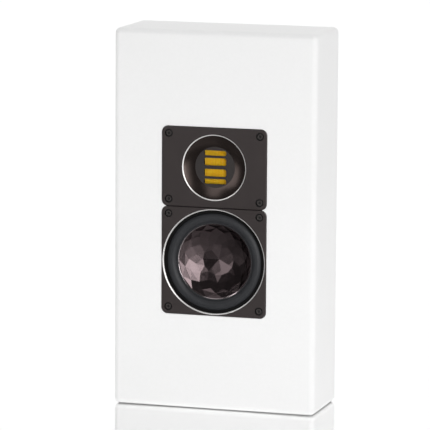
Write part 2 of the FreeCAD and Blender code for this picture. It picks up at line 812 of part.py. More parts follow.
def woofer_basket():
    body = new_body("woofer_basket", 0, FACE_Y, WOOFER_Z)
    flange = draw(new_sketch(body, "flange_outline", level=size.plate_thickness), rounded_rectangle(
        0, 0, size.plate_width, size.plate_width, size.plate_corner_radius))
    pad(body, "flange", flange, size.basket_flange_thickness)
    holes(body, "bore", size.plate_thickness, size.basket_flange_thickness, [(0, 0)], BASKET_BORE)
    holes(body, "screw_holes", size.plate_thickness, size.basket_flange_thickness, WOOFER_SCREWS, HOLE_RADIUS)
    straight_end = FLANGE_BACK + size.basket_straight
    floor_front = BASKET_END - size.basket_floor_thickness
    land_inner = size.spider_land_radius - size.spider_land_width
    revolve(body, "cup", [
        (BASKET_RADIUS, FLANGE_BACK - size.basket_flange_thickness / 2),
        (BASKET_RADIUS, straight_end),
        (size.basket_floor_radius, floor_front),
        (size.basket_floor_radius, BASKET_END),
        (size.basket_floor_hole, BASKET_END),
        (size.basket_floor_hole, floor_front),
        (land_inner, floor_front),
        (land_inner, SPIDER_LAND),
        (size.spider_land_radius, SPIDER_LAND),
        (size.spider_land_radius, floor_front),
        (size.basket_floor_radius - size.basket_wall, floor_front),
        (BASKET_BORE, straight_end),
        (BASKET_BORE, FLANGE_BACK - size.basket_flange_thickness / 2),
    ])
    # The windows leave six arms between the straight collar and the floor.
    window_outer = BASKET_BORE - size.basket_wall / 2
    window_inner = size.basket_floor_radius - size.basket_wall / 2
    spread = math.tan(math.radians(SIZES["basket_window_half_angle"]))
    window = draw(new_sketch(body, "window_outline", level=straight_end + size.basket_wall / 2), [
        (window_inner, -window_inner * spread), (window_outer, -window_outer * spread),
        (window_outer, window_outer * spread), (window_inner, window_inner * spread)])
    first = pocket(body, "window", window, floor_front - straight_end - size.basket_wall)
    doc.recompute()
    windows = add(body, "PolarPattern", "windows")
    windows.Originals = [first]
    windows.Axis = (origin_part(body, "Y_Axis"), [""])
    windows.Angle = 360
    windows.Occurrences = BASKET_WINDOWS
    body.Tip = windows
    doc.recompute()
    ear_end = size.basket_floor_radius + size.tag_board_width
    ear = draw(new_sketch(body, "ear_outline", level=floor_front), [
        (size.basket_floor_radius - size.basket_wall, -size.tag_board_length / 2),
        (ear_end, -size.tag_board_length / 2),
        (ear_end, size.tag_board_length / 2),
        (size.basket_floor_radius - size.basket_wall, size.tag_board_length / 2)])
    pad(body, "ear", ear, size.basket_floor_thickness)
    node(body)
    board_x = size.basket_floor_radius + size.tag_board_width / 2
    tag_board("woofer", board_x, FACE_Y + BASKET_END, WOOFER_Z, True)


def tag_board(driver, x, y, z, upright):
    """An insulating strip with two blades that point to the rear."""
    wide, tall = size.tag_board_length, size.tag_board_width
    if upright:
        wide, tall = tall, wide
    board_end = y + size.tag_board_thickness
    node(box(driver + "_terminal_board", (x - wide / 2, x + wide / 2), (y, board_end),
             (z - tall / 2, z + tall / 2)))
    across, through = size.tag_width, size.tag_thickness
    if upright:
        across, through = through, across
    blade = box(driver + "_terminal_blade", (-across / 2, across / 2), (0, size.tag_length),
                (-through / 2, through / 2))
    steps = [side * size.tag_spacing / 2 for side in (-1, 1)]
    spots = [(x, board_end, z + step) if upright else (x + step, board_end, z) for step in steps]
    group(driver + "_terminal_tabs", blade, spots)


def woofer_surround():
    """A half roll of rubber between a foot on the basket and a foot on the cone's lip."""
    foot_front = size.plate_thickness - size.surround_thickness
    foot_back = size.plate_thickness
    middle = (ROLL_OUTER + ROLL_INNER) / 2
    half = size.surround_roll_width / 2
    centre = foot_front + size.surround_roll_drop
    outer_radius = root(half * half + size.surround_roll_drop * size.surround_roll_drop)
    inner_radius = outer_radius - size.surround_thickness
    inner_half = root(inner_radius * inner_radius - (foot_back - centre) * (foot_back - centre))
    node(turned("woofer_surround", [
        (SURROUND_RADIUS, foot_back),
        (SURROUND_RADIUS, foot_front),
        (ROLL_OUTER, foot_front),
        (ROLL_INNER, foot_front, outer_radius, (middle, centre - outer_radius)),
        (SURROUND_BORE, foot_front),
        (SURROUND_BORE, foot_back),
        (middle - inner_half, foot_back),
        (middle + inner_half, foot_back, inner_radius, (middle, centre - inner_radius)),
    ], 0, FACE_Y, WOOFER_Z))


def facet_corners(shift):
    """The cone's corners ring by ring, with its middle first, moved back by shift."""
    radius = BOWL_RADIUS.value
    middle = BOWL_MIDDLE.value + shift
    rings = [[FreeCAD.Vector(0, middle, 0)]]
    for share, rise, count, turn in FACET_RINGS:
        corners = []
        for number in range(count):
            angle = math.pi + 2 * math.pi * number / count + turn * math.pi / FACET_CORNERS
            corners.append(FreeCAD.Vector(
                share * radius * math.cos(angle), middle - rise * SIZES["cone_bowl_depth"],
                share * radius * math.sin(angle)))
        rings.append(corners)
    return rings


def facet_faces(rings):
    """Flat facets between the rings: a star of kites in the middle, then bands of triangles."""
    centre, first = rings[0][0], rings[1]
    second = rings[2]
    triangles = []
    for number, corner in enumerate(first):
        following = first[(number + 1) % len(first)]
        tip = second[2 * number + 1]
        triangles.append((centre, corner, following))
        triangles.append((corner, tip, following))
        triangles.append((corner, second[2 * number], tip))
        triangles.append((corner, second[2 * number - 1], second[2 * number]))
    for index in range(2, len(rings) - 1):
        inner, outer = rings[index], rings[index + 1]
        ahead = FACET_RINGS[index][3]
        for number in range(FACET_CORNERS):
            following = (number + 1) % FACET_CORNERS
            if ahead:
                triangles.append((inner[number], outer[number], inner[following]))
                triangles.append((outer[number], outer[following], inner[following]))
            else:
                triangles.append((inner[number], outer[following], inner[following]))
                triangles.append((inner[number], outer[number], outer[following]))
    return [Part.Face(Part.makePolygon([a, b, c, a])) for a, b, c in triangles]


def woofer_cone():
    """A faceted bowl with a flat lip round its rim and a collar for the coil behind it."""
    thickness = SIZES["cone_thickness"]
    axis = FreeCAD.Vector(0, 1, 0)
    faces = []
    lips = []
    for shift in (0, thickness):
        rings = facet_corners(shift)
        faces += facet_faces(rings)
        rim = Part.makePolygon(rings[-1] + rings[-1][:1])
        centre = FreeCAD.Vector(0, LIP_FRONT.value + shift, 0)
        edge = Part.Wire(Part.makeCircle(ROLL_INNER.value, centre, axis))
        lips.append(edge)
        faces.append(Part.makeFace([edge, rim], "Part::FaceMakerBullseye"))
    faces.append(Part.makeLoft(lips, False, True).Faces[0])
    shell = Part.makeShell(faces)
    shell.sewShape()
    bowl = Part.makeSolid(shell)
    if bowl.Volume < 0:
        bowl.reverse()
    wall = SIZES["cone_collar_wall"]
    start = FreeCAD.Vector(0, BOWL_MIDDLE.value - FACET_RINGS[0][1] * SIZES["cone_bowl_depth"], 0)
    length = COLLAR_END.value - start.y
    collar = Part.makeCylinder(FORMER_RADIUS.value + wall, length, start, axis)
    collar = collar.cut(Part.makeCylinder(SIZES["coil_inner_radius"] - wall, length, start, axis))
    cone = doc.addObject("Part::Feature", "woofer_cone")
    cone.Label = "woofer_cone"
    cone.Shape = bowl.fuse(collar).removeSplitter()
    place(cone, 0, FACE_Y, WOOFER_Z)
    node(cone)


def woofer_motor():
    z = WOOFER_Z
    node(ring("coil_former", size.coil_inner_radius, FORMER_RADIUS, COLLAR_END,
              WINDING_END + size.former_tail, 0, FACE_Y, z))
    node(ring("voice_coil", FORMER_RADIUS, COIL_RADIUS, WINDING_START, WINDING_END, 0, FACE_Y, z))
    node(ring("woofer_top_plate", COIL_RADIUS + size.coil_gap, size.top_plate_radius,
              BASKET_END, TOP_PLATE_END, 0, FACE_Y, z))
    node(ring("woofer_magnet", size.magnet_inner_radius, size.magnet_radius, TOP_PLATE_END, MAGNET_END,
              0, FACE_Y, z))
    pole = size.coil_inner_radius - size.pole_gap
    node(turned("woofer_yoke", [
        (0, BASKET_END), (pole, BASKET_END), (pole, MAGNET_END), (size.top_plate_radius, MAGNET_END),
        (size.top_plate_radius, YOKE_END), (0, YOKE_END)], 0, FACE_Y, z))
    woofer_spider(z)


def woofer_spider(z):
    """A rippled fabric disc that centres the coil."""
    back = SPIDER_LAND
    front = back - size.spider_thickness
    inner = FORMER_RADIUS + size.pilot_clearance
    start = inner + size.spider_land_width / 2
    end = size.spider_land_radius - size.spider_land_width
    stations = [start + (end - start) * step / (2 * SPIDER_RIPPLES) for step in range(2 * SPIDER_RIPPLES + 1)]
    crests = [size.spider_ripple if number % 2 else formula(0) for number in range(len(stations))]
    path = [(inner, front)]
    path += [(radius, front - rise) for radius, rise in zip(stations, crests)]
    path += [(size.spider_land_radius, front), (size.spider_land_radius, back)]
    path += [(radius, back - rise) for radius, rise in reversed(list(zip(stations, crests)))]
    path += [(inner, back)]
    node(turned("woofer_spider", path, 0, FACE_Y, z))


def tweeter_front(screw):
    body = plate_blank("tweeter_faceplate", TWEETER_Z, size.tweeter_plate_height, TWEETER_SCREWS)
    boss = new_sketch(body, "boss_outline", level=size.plate_thickness)
    draw_circle(boss, 0, 0, size.boss_radius)
    pad(body, "boss", boss, size.boss_height)
    flare_start = size.flare_radius - size.flare_bevel
    via = ((flare_start + size.disc_radius) / 2, (size.flare_bevel_depth + size.disc_recess) / 2)
    chord = math.hypot(flare_start.value - size.disc_radius.value,
                       size.disc_recess.value - size.flare_bevel_depth.value)
    bow = size.flare_bow.value - math.sqrt(size.flare_bow.value ** 2 - chord ** 2 / 4)
    revolve(body, "flare", [
        (0, 0),
        (size.flare_radius, 0),
        (flare_start, size.flare_bevel_depth),
        (size.disc_radius, size.disc_recess, size.flare_bow, (via[0], via[1] + bow)),
        (STACK_BORE, size.disc_recess),
        (STACK_BORE, BOSS_END),
        (0, BOSS_END),
    ], "Groove")
    spots = cup_screw_spots()
    holes(body, "cup_screw_pilots", size.plate_thickness, size.boss_height, spots,
          size.cup_screw_radius + size.pilot_clearance)
    node(body)
    gasket("tweeter_gasket", TWEETER_Z, size.tweeter_plate_height, size.plate_thickness, TWEETER_CUTOUT,
           TWEETER_SCREWS)
    group("tweeter_screws", screw, [(x, FACE_Y, TWEETER_Z + z) for x, z in TWEETER_SCREWS])


def cup_screw_spots():
    reach = (STACK_BORE + size.boss_radius) / 2 * math.sqrt(0.5)
    return four(reach, reach)


def pole_plate(label, front):
    """A disc with four horizontal slots, two narrow ones outside two wide ones."""
    body = new_body(label, 0, FACE_Y, TWEETER_Z)
    outline = new_sketch(body, "outline", level=front)
    draw_circle(outline, 0, 0, DISC_SEAT_RADIUS)
    pad(body, "disc", outline, size.pole_plate_thickness)
    inner_z = (size.middle_bar + size.inner_slot_height) / 2
    outer_z = size.middle_bar / 2 + size.inner_slot_height + size.outer_bar + size.outer_slot_height / 2
    slots = new_sketch(body, "slot_outlines", level=front)
    for up in (-1, 1):
        draw(slots, rounded_rectangle(
            0, up * inner_z, size.slot_width, size.inner_slot_height, size.slot_corner_radius))
        draw(slots, rounded_rectangle(
            0, up * outer_z, size.slot_width, size.outer_slot_height, size.slot_corner_radius))
    pocket(body, "slots", slots, size.pole_plate_thickness)
    return node(body)


def tweeter_stack():
    pole_plate("tweeter_front_pole", size.disc_recess)
    pole_plate("tweeter_rear_pole", FRAME_END)
    frame = new_body("tweeter_foil_frame", 0, FACE_Y, TWEETER_Z)
    outline = new_sketch(frame, "outline", level=FRONT_POLE_END)
    draw_circle(outline, 0, 0, DISC_SEAT_RADIUS)
    pad(frame, "disc", outline, size.foil_frame_depth)
    window = draw(new_sketch(frame, "window_outline", level=FRONT_POLE_END), rectangle(
        0, 0, FOIL_WIDTH, FOIL_HEIGHT))
    pocket(frame, "window", window, size.foil_frame_depth)
    bar_x = FOIL_WIDTH / 2 + size.magnet_bar_wall + size.magnet_bar_width / 2
    bar_front = FRONT_POLE_END + size.magnet_bar_wall
    for name, side in (("left", -1), ("right", 1)):
        room = draw(new_sketch(frame, name + "_bar_outline", level=bar_front), rectangle(
            side * bar_x, 0, size.magnet_bar_width, size.magnet_bar_length))
        pocket(frame, name + "_bar_room", room, size.foil_frame_depth - size.magnet_bar_wall)
    node(frame)
    bar = box("tweeter_magnet_bar", (-size.magnet_bar_width / 2, size.magnet_bar_width / 2),
              (0, FRAME_END - bar_front), (-size.magnet_bar_length / 2, size.magnet_bar_length / 2))
    group("tweeter_magnets", bar, [(side * bar_x, FACE_Y + bar_front, TWEETER_Z) for side in (-1, 1)])
    tweeter_foil()
    tweeter_rear()


def tweeter_foil():
    """Pleated foil: one upright pleat repeated across the frame's window."""
    body = new_body("tweeter_foil", 0, FACE_Y, TWEETER_Z)
    width = SIZES["slot_width"] + 2 * SIZES["foil_margin"] - 2 * SIZES["foil_clearance"]
    pleats = int(width / SIZES["foil_pitch"])
    pitch = (FOIL_WIDTH - 2 * size.foil_clearance) / pleats
    front = FRONT_POLE_END + size.foil_set_back
    back = front + size.foil_pleat_depth
    left = -FOIL_WIDTH / 2 + size.foil_clearance
    fold = size.foil_fold_width / 2
    face = [(left, back), (left + fold, back), (left + pitch / 2 - fold, front),
            (left + pitch / 2 + fold, front), (left + pitch - fold, back), (left + pitch, back)]
    sketch = draw(new_sketch(body, "pleat_outline", "XY_Plane"),
                  face + [(x, y + size.foil_wall_shift) for x, y in reversed(face)])
    pleat = add(body, "Pad", "pleat")
    pleat.Profile = sketch
    pleat.Midplane = True
    bind(pleat, "Length", FOIL_HEIGHT - 2 * size.foil_clearance)
    doc.recompute()
    row = add(body, "LinearPattern", "pleats")
    row.Originals = [pleat]
    row.Direction = (origin_part(body, "X_Axis"), [""])
    row.Occurrences = pleats
    bind(row, "Length", pitch * (pleats - 1))
    body.Tip = row
    node(body)


def tweeter_rear():
    """The chamber behind the foil: a turned cup that clamps the stack, with felt on the rear pole plate."""
    bore = STACK_BORE - size.rear_cup_ledge
    floor = REAR_CUP_END - size.rear_cup_floor
    cup = turned("tweeter_rear_cup", [
        (STACK_BORE, BOSS_END), (size.boss_radius, BOSS_END), (size.boss_radius, REAR_CUP_END),
        (0, REAR_CUP_END), (0, floor), (bore, floor), (bore, REAR_POLE_END), (STACK_BORE, REAR_POLE_END)
    ], 0, FACE_Y, TWEETER_Z)
    holes(cup, "screw_holes", BOSS_END, size.rear_cup_depth, cup_screw_spots(),
          size.cup_screw_radius + size.pilot_clearance)
    node(cup)
    node(rod("tweeter_felt", bore - size.disc_clearance, REAR_POLE_END, REAR_POLE_END + size.felt_thickness,
             0, FACE_Y, TWEETER_Z))
    screw = turned("cup_screw", [
        (0, size.plate_thickness + size.pilot_clearance),
        (size.cup_screw_radius, BOSS_END - size.boss_height / 2),
        (size.cup_screw_radius, REAR_CUP_END), (size.cup_screw_head_radius, REAR_CUP_END),
        (size.cup_screw_head_radius, REAR_CUP_END + size.cup_screw_head_height),
        (0, REAR_CUP_END + size.cup_screw_head_height)])
    group("tweeter_cup_screws", screw, [(x, FACE_Y, TWEETER_Z + z) for x, z in cup_screw_spots()])
    tag_board("tweeter", formula(0), FACE_Y + REAR_CUP_END, TWEETER_Z, False)


def terminals():
    body = new_body("terminal_cup", 0, BACK_Y, TERMINAL_Z)
    sketch = new_sketch(body, "flange_outline", level=-size.terminal_flange_thickness)
    flange = draw(sketch, rounded_rectangle(
        0, 0, size.terminal_flange_width, size.terminal_flange_height, size.terminal_corner_radius))
    pad(body, "flange", flange, size.terminal_flange_thickness)
    depth = size.terminal_cup_depth + size.terminal_cup_floor
    cup = draw(new_sketch(body, "cup_outline", level=-depth), rounded_rectangle(
        0, 0, size.terminal_cup_width, size.terminal_cup_height, size.terminal_corner_radius))
    pad(body, "cup", cup, depth)
    dish = draw(new_sketch(body, "dish_outline", level=-size.terminal_cup_depth), rounded_rectangle(
        0, 0, size.terminal_cup_width - 2 * size.terminal_cup_wall,
        size.terminal_cup_height - 2 * size.terminal_cup_wall,
        size.terminal_corner_radius - size.terminal_cup_wall))
    pocket(body, "dish", dish, size.terminal_cup_depth)
    posts = [(side * size.post_spacing / 2, 0) for side in (-1, 1)]
    holes(body, "post_holes", -depth, size.terminal_cup_floor, posts,
          size.post_radius + size.post_bore_clearance)
    countersunk_holes(body, "screw_holes", -size.terminal_flange_thickness, size.terminal_flange_thickness,
                      TERMINAL_SCREWS, WOOD_PILOT_RADIUS, size.wood_screw_head_radius + size.pilot_clearance)
    node(body)
    screw = wood_screw("terminal_screw", size.terminal_screw_length)
    group("terminal_cup_screws", screw, [(x, BACK_Y, TERMINAL_Z + z) for x, z in TERMINAL_SCREWS])
    binding_posts([x for x, z in posts])


def binding_posts(places):
    """Two threaded studs, each with a nut inside, a clamping washer and a fluted cap outside."""
    inside = -size.terminal_cup_floor
    stud = turned("post_stud", [
        (0, inside - size.nut_height - size.post_tail),
        (size.post_radius, inside - size.nut_height - size.post_tail),
        (size.post_radius, 0), (size.post_collar_radius, 0),
        (size.post_collar_radius, size.post_collar_height), (size.post_radius, size.post_collar_height),
        (size.post_radius, size.post_reach), (0, size.post_reach)])
    group("post_studs", stud, [(x, CUP_FLOOR_Y, TERMINAL_Z) for x in places])
    nut = doc.addObject("Part::Cut", "post_nut")
    nut.Base = hexagon("post_nut_blank", size.nut_flats, size.nut_height, inside - size.nut_height)
    nut.Tool = rod("post_nut_bore", size.post_radius + size.post_bore_clearance,
                   inside - size.nut_height, inside)
    group("post_nuts", nut, [(x, CUP_FLOOR_Y, TERMINAL_Z) for x in places])
    washer_front = size.post_collar_height
    cap_front = washer_front + size.washer_thickness
    cap_end = cap_front + size.cap_length
    bore = size.post_radius + size.post_bore_clearance
    for colour, x in zip(("red", "black"), places):
        node(ring(colour + "_post_washer", size.post_radius + size.washer_clearance, size.washer_radius,
                  washer_front, cap_front, x, CUP_FLOOR_Y, TERMINAL_Z))
        cap = turned(colour + "_post_cap", [
            (bore, cap_front), (size.cap_radius - size.cap_bevel, cap_front),
            (size.cap_radius, cap_front + size.cap_bevel), (size.cap_radius, cap_end - size.cap_bevel),
            (size.cap_radius - size.cap_bevel, cap_end), (0, cap_end),
            (0, cap_end - size.cap_end), (bore, cap_end - size.cap_end)], x, CUP_FLOOR_Y, TERMINAL_Z)
        flute = holes(cap, "flute", cap_front, size.cap_length, [(size.cap_radius, 0)], size.cap_flute_radius)
        doc.recompute()
        flutes = add(cap, "PolarPattern", "flutes")
        flutes.Originals = [flute]
        flutes.Axis = (origin_part(cap, "Y_Axis"), [""])
        flutes.Angle = 360
        flutes.Occurrences = CAP_FLUTES
        cap.Tip = flutes
        node(cap)


def crossover():
    """The crossover board on standoffs, with its parts facing the front."""
    board_back = PANEL_Y - size.standoff_height
    board_front = board_back - size.board_thickness
    body = new_body("crossover_board", 0, board_front, BOARD_Z)
    outline = draw(new_sketch(body, "outline"), rectangle(0, 0, BOARD_WIDTH, size.board_height))
    pad(body, "board", outline, size.board_thickness)
    holes(body, "screw_holes", 0, size.board_thickness, BOARD_HOLES, WOOD_PILOT_RADIUS)
    node(body)
    standoff = ring("standoff", WOOD_PILOT_RADIUS, size.standoff_radius, 0, size.standoff_height)
    group("board_standoffs", standoff, [(x, board_back, BOARD_Z + z) for x, z in BOARD_HOLES])
    screw_end = size.board_thickness + size.standoff_height - size.pilot_clearance
    screw = turned("board_screw", [
        (0, -size.board_screw_head_height), (size.board_screw_head_radius, -size.board_screw_head_height),
        (size.board_screw_head_radius, 0), (size.wood_screw_radius, 0),
        (size.wood_screw_radius, screw_end), (0, screw_end)])
    group("board_screws", screw, [(x, board_front, BOARD_Z + z) for x, z in BOARD_HOLES])
    left = -BOARD_WIDTH / 2 + size.board_hole_inset + size.standoff_radius
    right = -left
    node(ring("woofer_inductor", size.woofer_inductor_bore, size.woofer_inductor_radius,
              -size.woofer_inductor_height, 0, left + size.woofer_inductor_radius, board_front, BOARD_Z))
    node(ring("tweeter_inductor", size.tweeter_inductor_bore, size.tweeter_inductor_radius,
              -size.tweeter_inductor_height, 0, right - size.tweeter_inductor_radius, board_front,
              BOARD_Z + size.board_height / 2 - size.tweeter_inductor_radius - size.board_hole_inset))
    node(rod("upright_capacitor", size.upright_capacitor_radius, -size.upright_capacitor_height, 0,
             right - size.upright_capacitor_radius, board_front,
             BOARD_Z - size.board_height / 2 + size.upright_capacitor_radius + size.board_hole_inset))
    middle = left + 2 * size.woofer_inductor_radius + size.board_part_gap
    step = size.film_capacitor_width + size.board_part_gap
    capacitor = box("film_capacitor", (0, size.film_capacitor_length), (-size.film_capacitor_height, 0),
                    (-size.film_capacitor_width / 2, size.film_capacitor_width / 2))
    group("film_capacitors", capacitor, [(middle, board_front, BOARD_Z + step * row) for row in (0, 1)])
    node(box("power_resistor", (middle, middle + size.resistor_length),
             (board_front - size.resistor_width, board_front),
             (BOARD_Z - step - size.resistor_width / 2, BOARD_Z - step + size.resistor_width / 2)))


def check_document():
    """Stops if a feature failed, a cut removed nothing or a piece is not a sound solid."""
    for thing in doc.Objects:
        if "Invalid" in thing.State or "Error" in thing.State:
            raise RuntimeError(thing.Name + " did not recompute: " + str(thing.State))
        if thing.TypeId in ("PartDesign::Pocket", "PartDesign::Groove"):
            if thing.Shape.Volume > thing.BaseFeature.Shape.Volume - 1e-6:
                raise RuntimeError(thing.Name + " cuts nothing")
    for thing in NODES:
        if thing.Shape.isNull() or not thing.Shape.isValid() or not thing.Shape.Solids:
            raise RuntimeError(thing.Label + " is not a sound solid")


cabinet()
rear_panel()
hangers()
damping()
plate_screw = socket_screw()
woofer_front(plate_screw)
woofer_basket()
woofer_surround()
woofer_cone()
woofer_motor()
tweeter_front(plate_screw)
tweeter_stack()
terminals()
crossover()
doc.recompute()
check_document()

os.makedirs("parts", exist_ok=True)
for piece in NODES:
    piece.Shape.exportStep("parts/" + piece.Label + ".step")
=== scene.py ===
"""Wall speaker: finishes and detail pieces over its solids, with the floor, the lights and the camera."""

import math

import bmesh
import bpy
from mathutils import Matrix, Vector, noise
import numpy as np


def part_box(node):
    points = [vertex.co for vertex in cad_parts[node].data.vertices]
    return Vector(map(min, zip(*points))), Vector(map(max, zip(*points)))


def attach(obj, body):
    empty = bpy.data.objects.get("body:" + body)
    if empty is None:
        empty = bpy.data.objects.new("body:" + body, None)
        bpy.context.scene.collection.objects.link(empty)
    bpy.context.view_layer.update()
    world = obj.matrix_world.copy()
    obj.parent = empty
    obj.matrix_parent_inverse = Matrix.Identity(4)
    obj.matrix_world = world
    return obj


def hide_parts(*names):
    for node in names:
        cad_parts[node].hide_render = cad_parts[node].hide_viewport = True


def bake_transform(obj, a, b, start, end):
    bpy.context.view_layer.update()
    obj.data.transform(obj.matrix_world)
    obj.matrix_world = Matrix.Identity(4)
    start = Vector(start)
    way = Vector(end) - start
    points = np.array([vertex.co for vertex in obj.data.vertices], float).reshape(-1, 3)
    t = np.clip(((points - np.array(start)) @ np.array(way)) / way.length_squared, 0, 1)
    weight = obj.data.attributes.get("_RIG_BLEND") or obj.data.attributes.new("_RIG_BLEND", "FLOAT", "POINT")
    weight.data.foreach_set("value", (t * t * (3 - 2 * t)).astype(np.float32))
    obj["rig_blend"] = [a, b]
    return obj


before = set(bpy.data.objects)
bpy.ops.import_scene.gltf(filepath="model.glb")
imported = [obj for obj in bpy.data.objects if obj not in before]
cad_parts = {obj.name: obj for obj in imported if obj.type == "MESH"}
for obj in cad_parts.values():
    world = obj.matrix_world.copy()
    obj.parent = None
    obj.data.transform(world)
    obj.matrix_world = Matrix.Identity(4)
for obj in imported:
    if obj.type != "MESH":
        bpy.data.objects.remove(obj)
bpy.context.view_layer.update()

MM = 0.001

# Places of the cabinet and the two drivers, read from the model

PLATE_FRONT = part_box("woofer_faceplate")[0].y
WOOFER_Z = sum(corner.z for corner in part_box("woofer_faceplate")) / 2
TWEETER_Z = sum(corner.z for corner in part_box("tweeter_faceplate")) / 2
CABINET_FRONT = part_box("cabinet_shell")[0].y
CABINET_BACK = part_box("cabinet_shell")[1].y
WOOFER_AXIS = Vector((0, PLATE_FRONT, WOOFER_Z))
TWEETER_AXIS = Vector((0, PLATE_FRONT, TWEETER_Z))

# Ways of joining shader nodes


def feed(tree, socket, value):
    """Links a socket to the one given as its value, or sets it to a plain value."""
    if isinstance(value, bpy.types.NodeSocket):
        tree.links.new(value, socket)
    else:
        socket.default_value = value


def add(tree, kind, *inputs, **settings):
    """Adds a node. Its inputs come in order or by name, and its own options are in lower case."""
    node = tree.nodes.new(kind)
    for key, value in settings.items():
        if key.islower():
            setattr(node, key, value)
        else:
            feed(tree, node.inputs[key.replace("_", " ")], value)
    for socket, value in zip(node.inputs, inputs):
        feed(tree, socket, value)
    return node


def compute(tree, operation, *inputs):
    """A calculation on single values."""
    return add(tree, "ShaderNodeMath", *inputs, operation=operation).outputs[0]


def mix(tree, mask, low, high, kind="FLOAT"):
    """Goes from low to high by a mask: single values, or colours where the kind is RGBA."""
    node = add(tree, "ShaderNodeMix", mask, data_type=kind)
    # The node has sockets for each kind, so these are the numbers of this kind's
    first, second, result = (6, 7, 2) if kind == "RGBA" else (2, 3, 0)
    feed(tree, node.inputs[first], low)
    feed(tree, node.inputs[second], high)
    return node.outputs[result]


def new_group(name, inputs, outputs):
    """A node group, and the sockets it is given. Inputs are (name, kind, value), and outputs (name, kind)."""
    tree = bpy.data.node_groups.new(name, "ShaderNodeTree")
    for socket_name, kind, value in inputs:
        socket = tree.interface.new_socket(socket_name, in_out="INPUT", socket_type="NodeSocket" + kind)
        socket.default_value = value
    for socket_name, kind in outputs:
        tree.interface.new_socket(socket_name, in_out="OUTPUT", socket_type="NodeSocket" + kind)
    return tree, tree.nodes.new("NodeGroupInput").outputs


def place_group(tree, group, **inputs):
    """Places a node group, and returns what it puts out."""
    return add(tree, "ShaderNodeGroup", node_tree=group, **inputs).outputs


# Node groups that the finishes share


def build_mottle():
    """Two shades of one colour in soft clouds, with fine specks over them."""
    tree, given = new_group(
        "Mottle",
        [("Vector", "Vector", (0, 0, 0)), ("Low", "Color", (0, 0, 0, 1)), ("High", "Color", (1, 1, 1, 1)),
         ("Cloud Scale", "Float", 20.0), ("Speck Scale", "Float", 900.0), ("Speck Share", "Float", 0.4)],
        [("Colour", "Color"), ("Mask", "Float")])
    clouds = add(tree, "ShaderNodeTexNoise", Vector=given["Vector"], Scale=given["Cloud Scale"], Detail=4.0,
                 Roughness=0.6)
    specks = add(tree, "ShaderNodeTexNoise", Vector=given["Vector"], Scale=given["Speck Scale"], Detail=2.0,
                 Roughness=0.5)
    both = mix(tree, given["Speck Share"], clouds.outputs[0], specks.outputs[0])
    spread = add(tree, "ShaderNodeMapRange", Value=both, From_Min=0.3, From_Max=0.7).outputs[0]
    colour = mix(tree, spread, given["Low"], given["High"], "RGBA")
    add(tree, "NodeGroupOutput", Colour=colour, Mask=spread)
    return tree


def build_grain():
    """Noise for bumps, drawn out along an axis where Stretch is not 1."""
    tree, given = new_group(
        "Grain",
        [("Vector", "Vector", (0, 0, 0)), ("Scale", "Float", 900.0), ("Stretch", "Vector", (1, 1, 1)),
         ("Detail", "Float", 3.0)],
        [("Height", "Float")])
    drawn = add(tree, "ShaderNodeVectorMath", given["Vector"], given["Stretch"], operation="MULTIPLY")
    texture = add(tree, "ShaderNodeTexNoise", Vector=drawn.outputs[0], Scale=given["Scale"],
                  Detail=given["Detail"], Roughness=0.55)
    add(tree, "NodeGroupOutput", Height=texture.outputs[0])
    return tree


def build_radius():
    """Distance from the Y axis, and depth along it."""
    tree, given = new_group(
        "Radius", [("Vector", "Vector", (0, 0, 0))], [("Radius", "Float"), ("Depth", "Float")])
    flat = add(tree, "ShaderNodeVectorMath", given["Vector"], (1, 0, 1), operation="MULTIPLY")
    length = add(tree, "ShaderNodeVectorMath", flat.outputs[0], operation="LENGTH")
    parts = add(tree, "ShaderNodeSeparateXYZ", given["Vector"])
    add(tree, "NodeGroupOutput", Radius=length.outputs["Value"], Depth=parts.outputs["Y"])
    return tree


def build_ridges():
    """Even ridges along a distance, as a lathe or a winding leaves them."""
    tree, given = new_group(
        "Ridges", [("Distance", "Float", 0.0), ("Pitch", "Float", 0.0005)], [("Height", "Float")])
    count = compute(tree, "DIVIDE", given["Distance"], given["Pitch"])
    wave = compute(tree, "SINE", compute(tree, "MULTIPLY", count, math.tau))
    add(tree, "NodeGroupOutput", Height=compute(tree, "MULTIPLY_ADD", wave, 0.5, 0.5))
    return tree


def build_band():
    """1 where a value lies between two limits, else 0."""
    tree, given = new_group(
        "Band", [("Value", "Float", 0.0), ("From", "Float", 0.0), ("To", "Float", 1.0)], [("Mask", "Float")])
    above = compute(tree, "GREATER_THAN", given["Value"], given["From"])
    below = compute(tree, "LESS_THAN", given["Value"], given["To"])
    add(tree, "NodeGroupOutput", Mask=compute(tree, "MULTIPLY", above, below))
    return tree


MOTTLE = build_mottle()
GRAIN = build_grain()
RADIUS = build_radius()
RIDGES = build_ridges()
BAND = build_band()

# Finishes


def new_material(name, centre=(0, 0, 0)):
    """A material with its shader, and Object coordinates counted from a centre."""
    material = bpy.data.materials.new(name)
    material.use_nodes = True
    tree = material.node_tree
    coordinates = tree.nodes.new("ShaderNodeTexCoord").outputs["Object"]
    mapping = add(tree, "ShaderNodeMapping", Vector=coordinates, Location=-Vector(centre))
    return material, tree, tree.nodes["Principled BSDF"], mapping.outputs["Vector"]


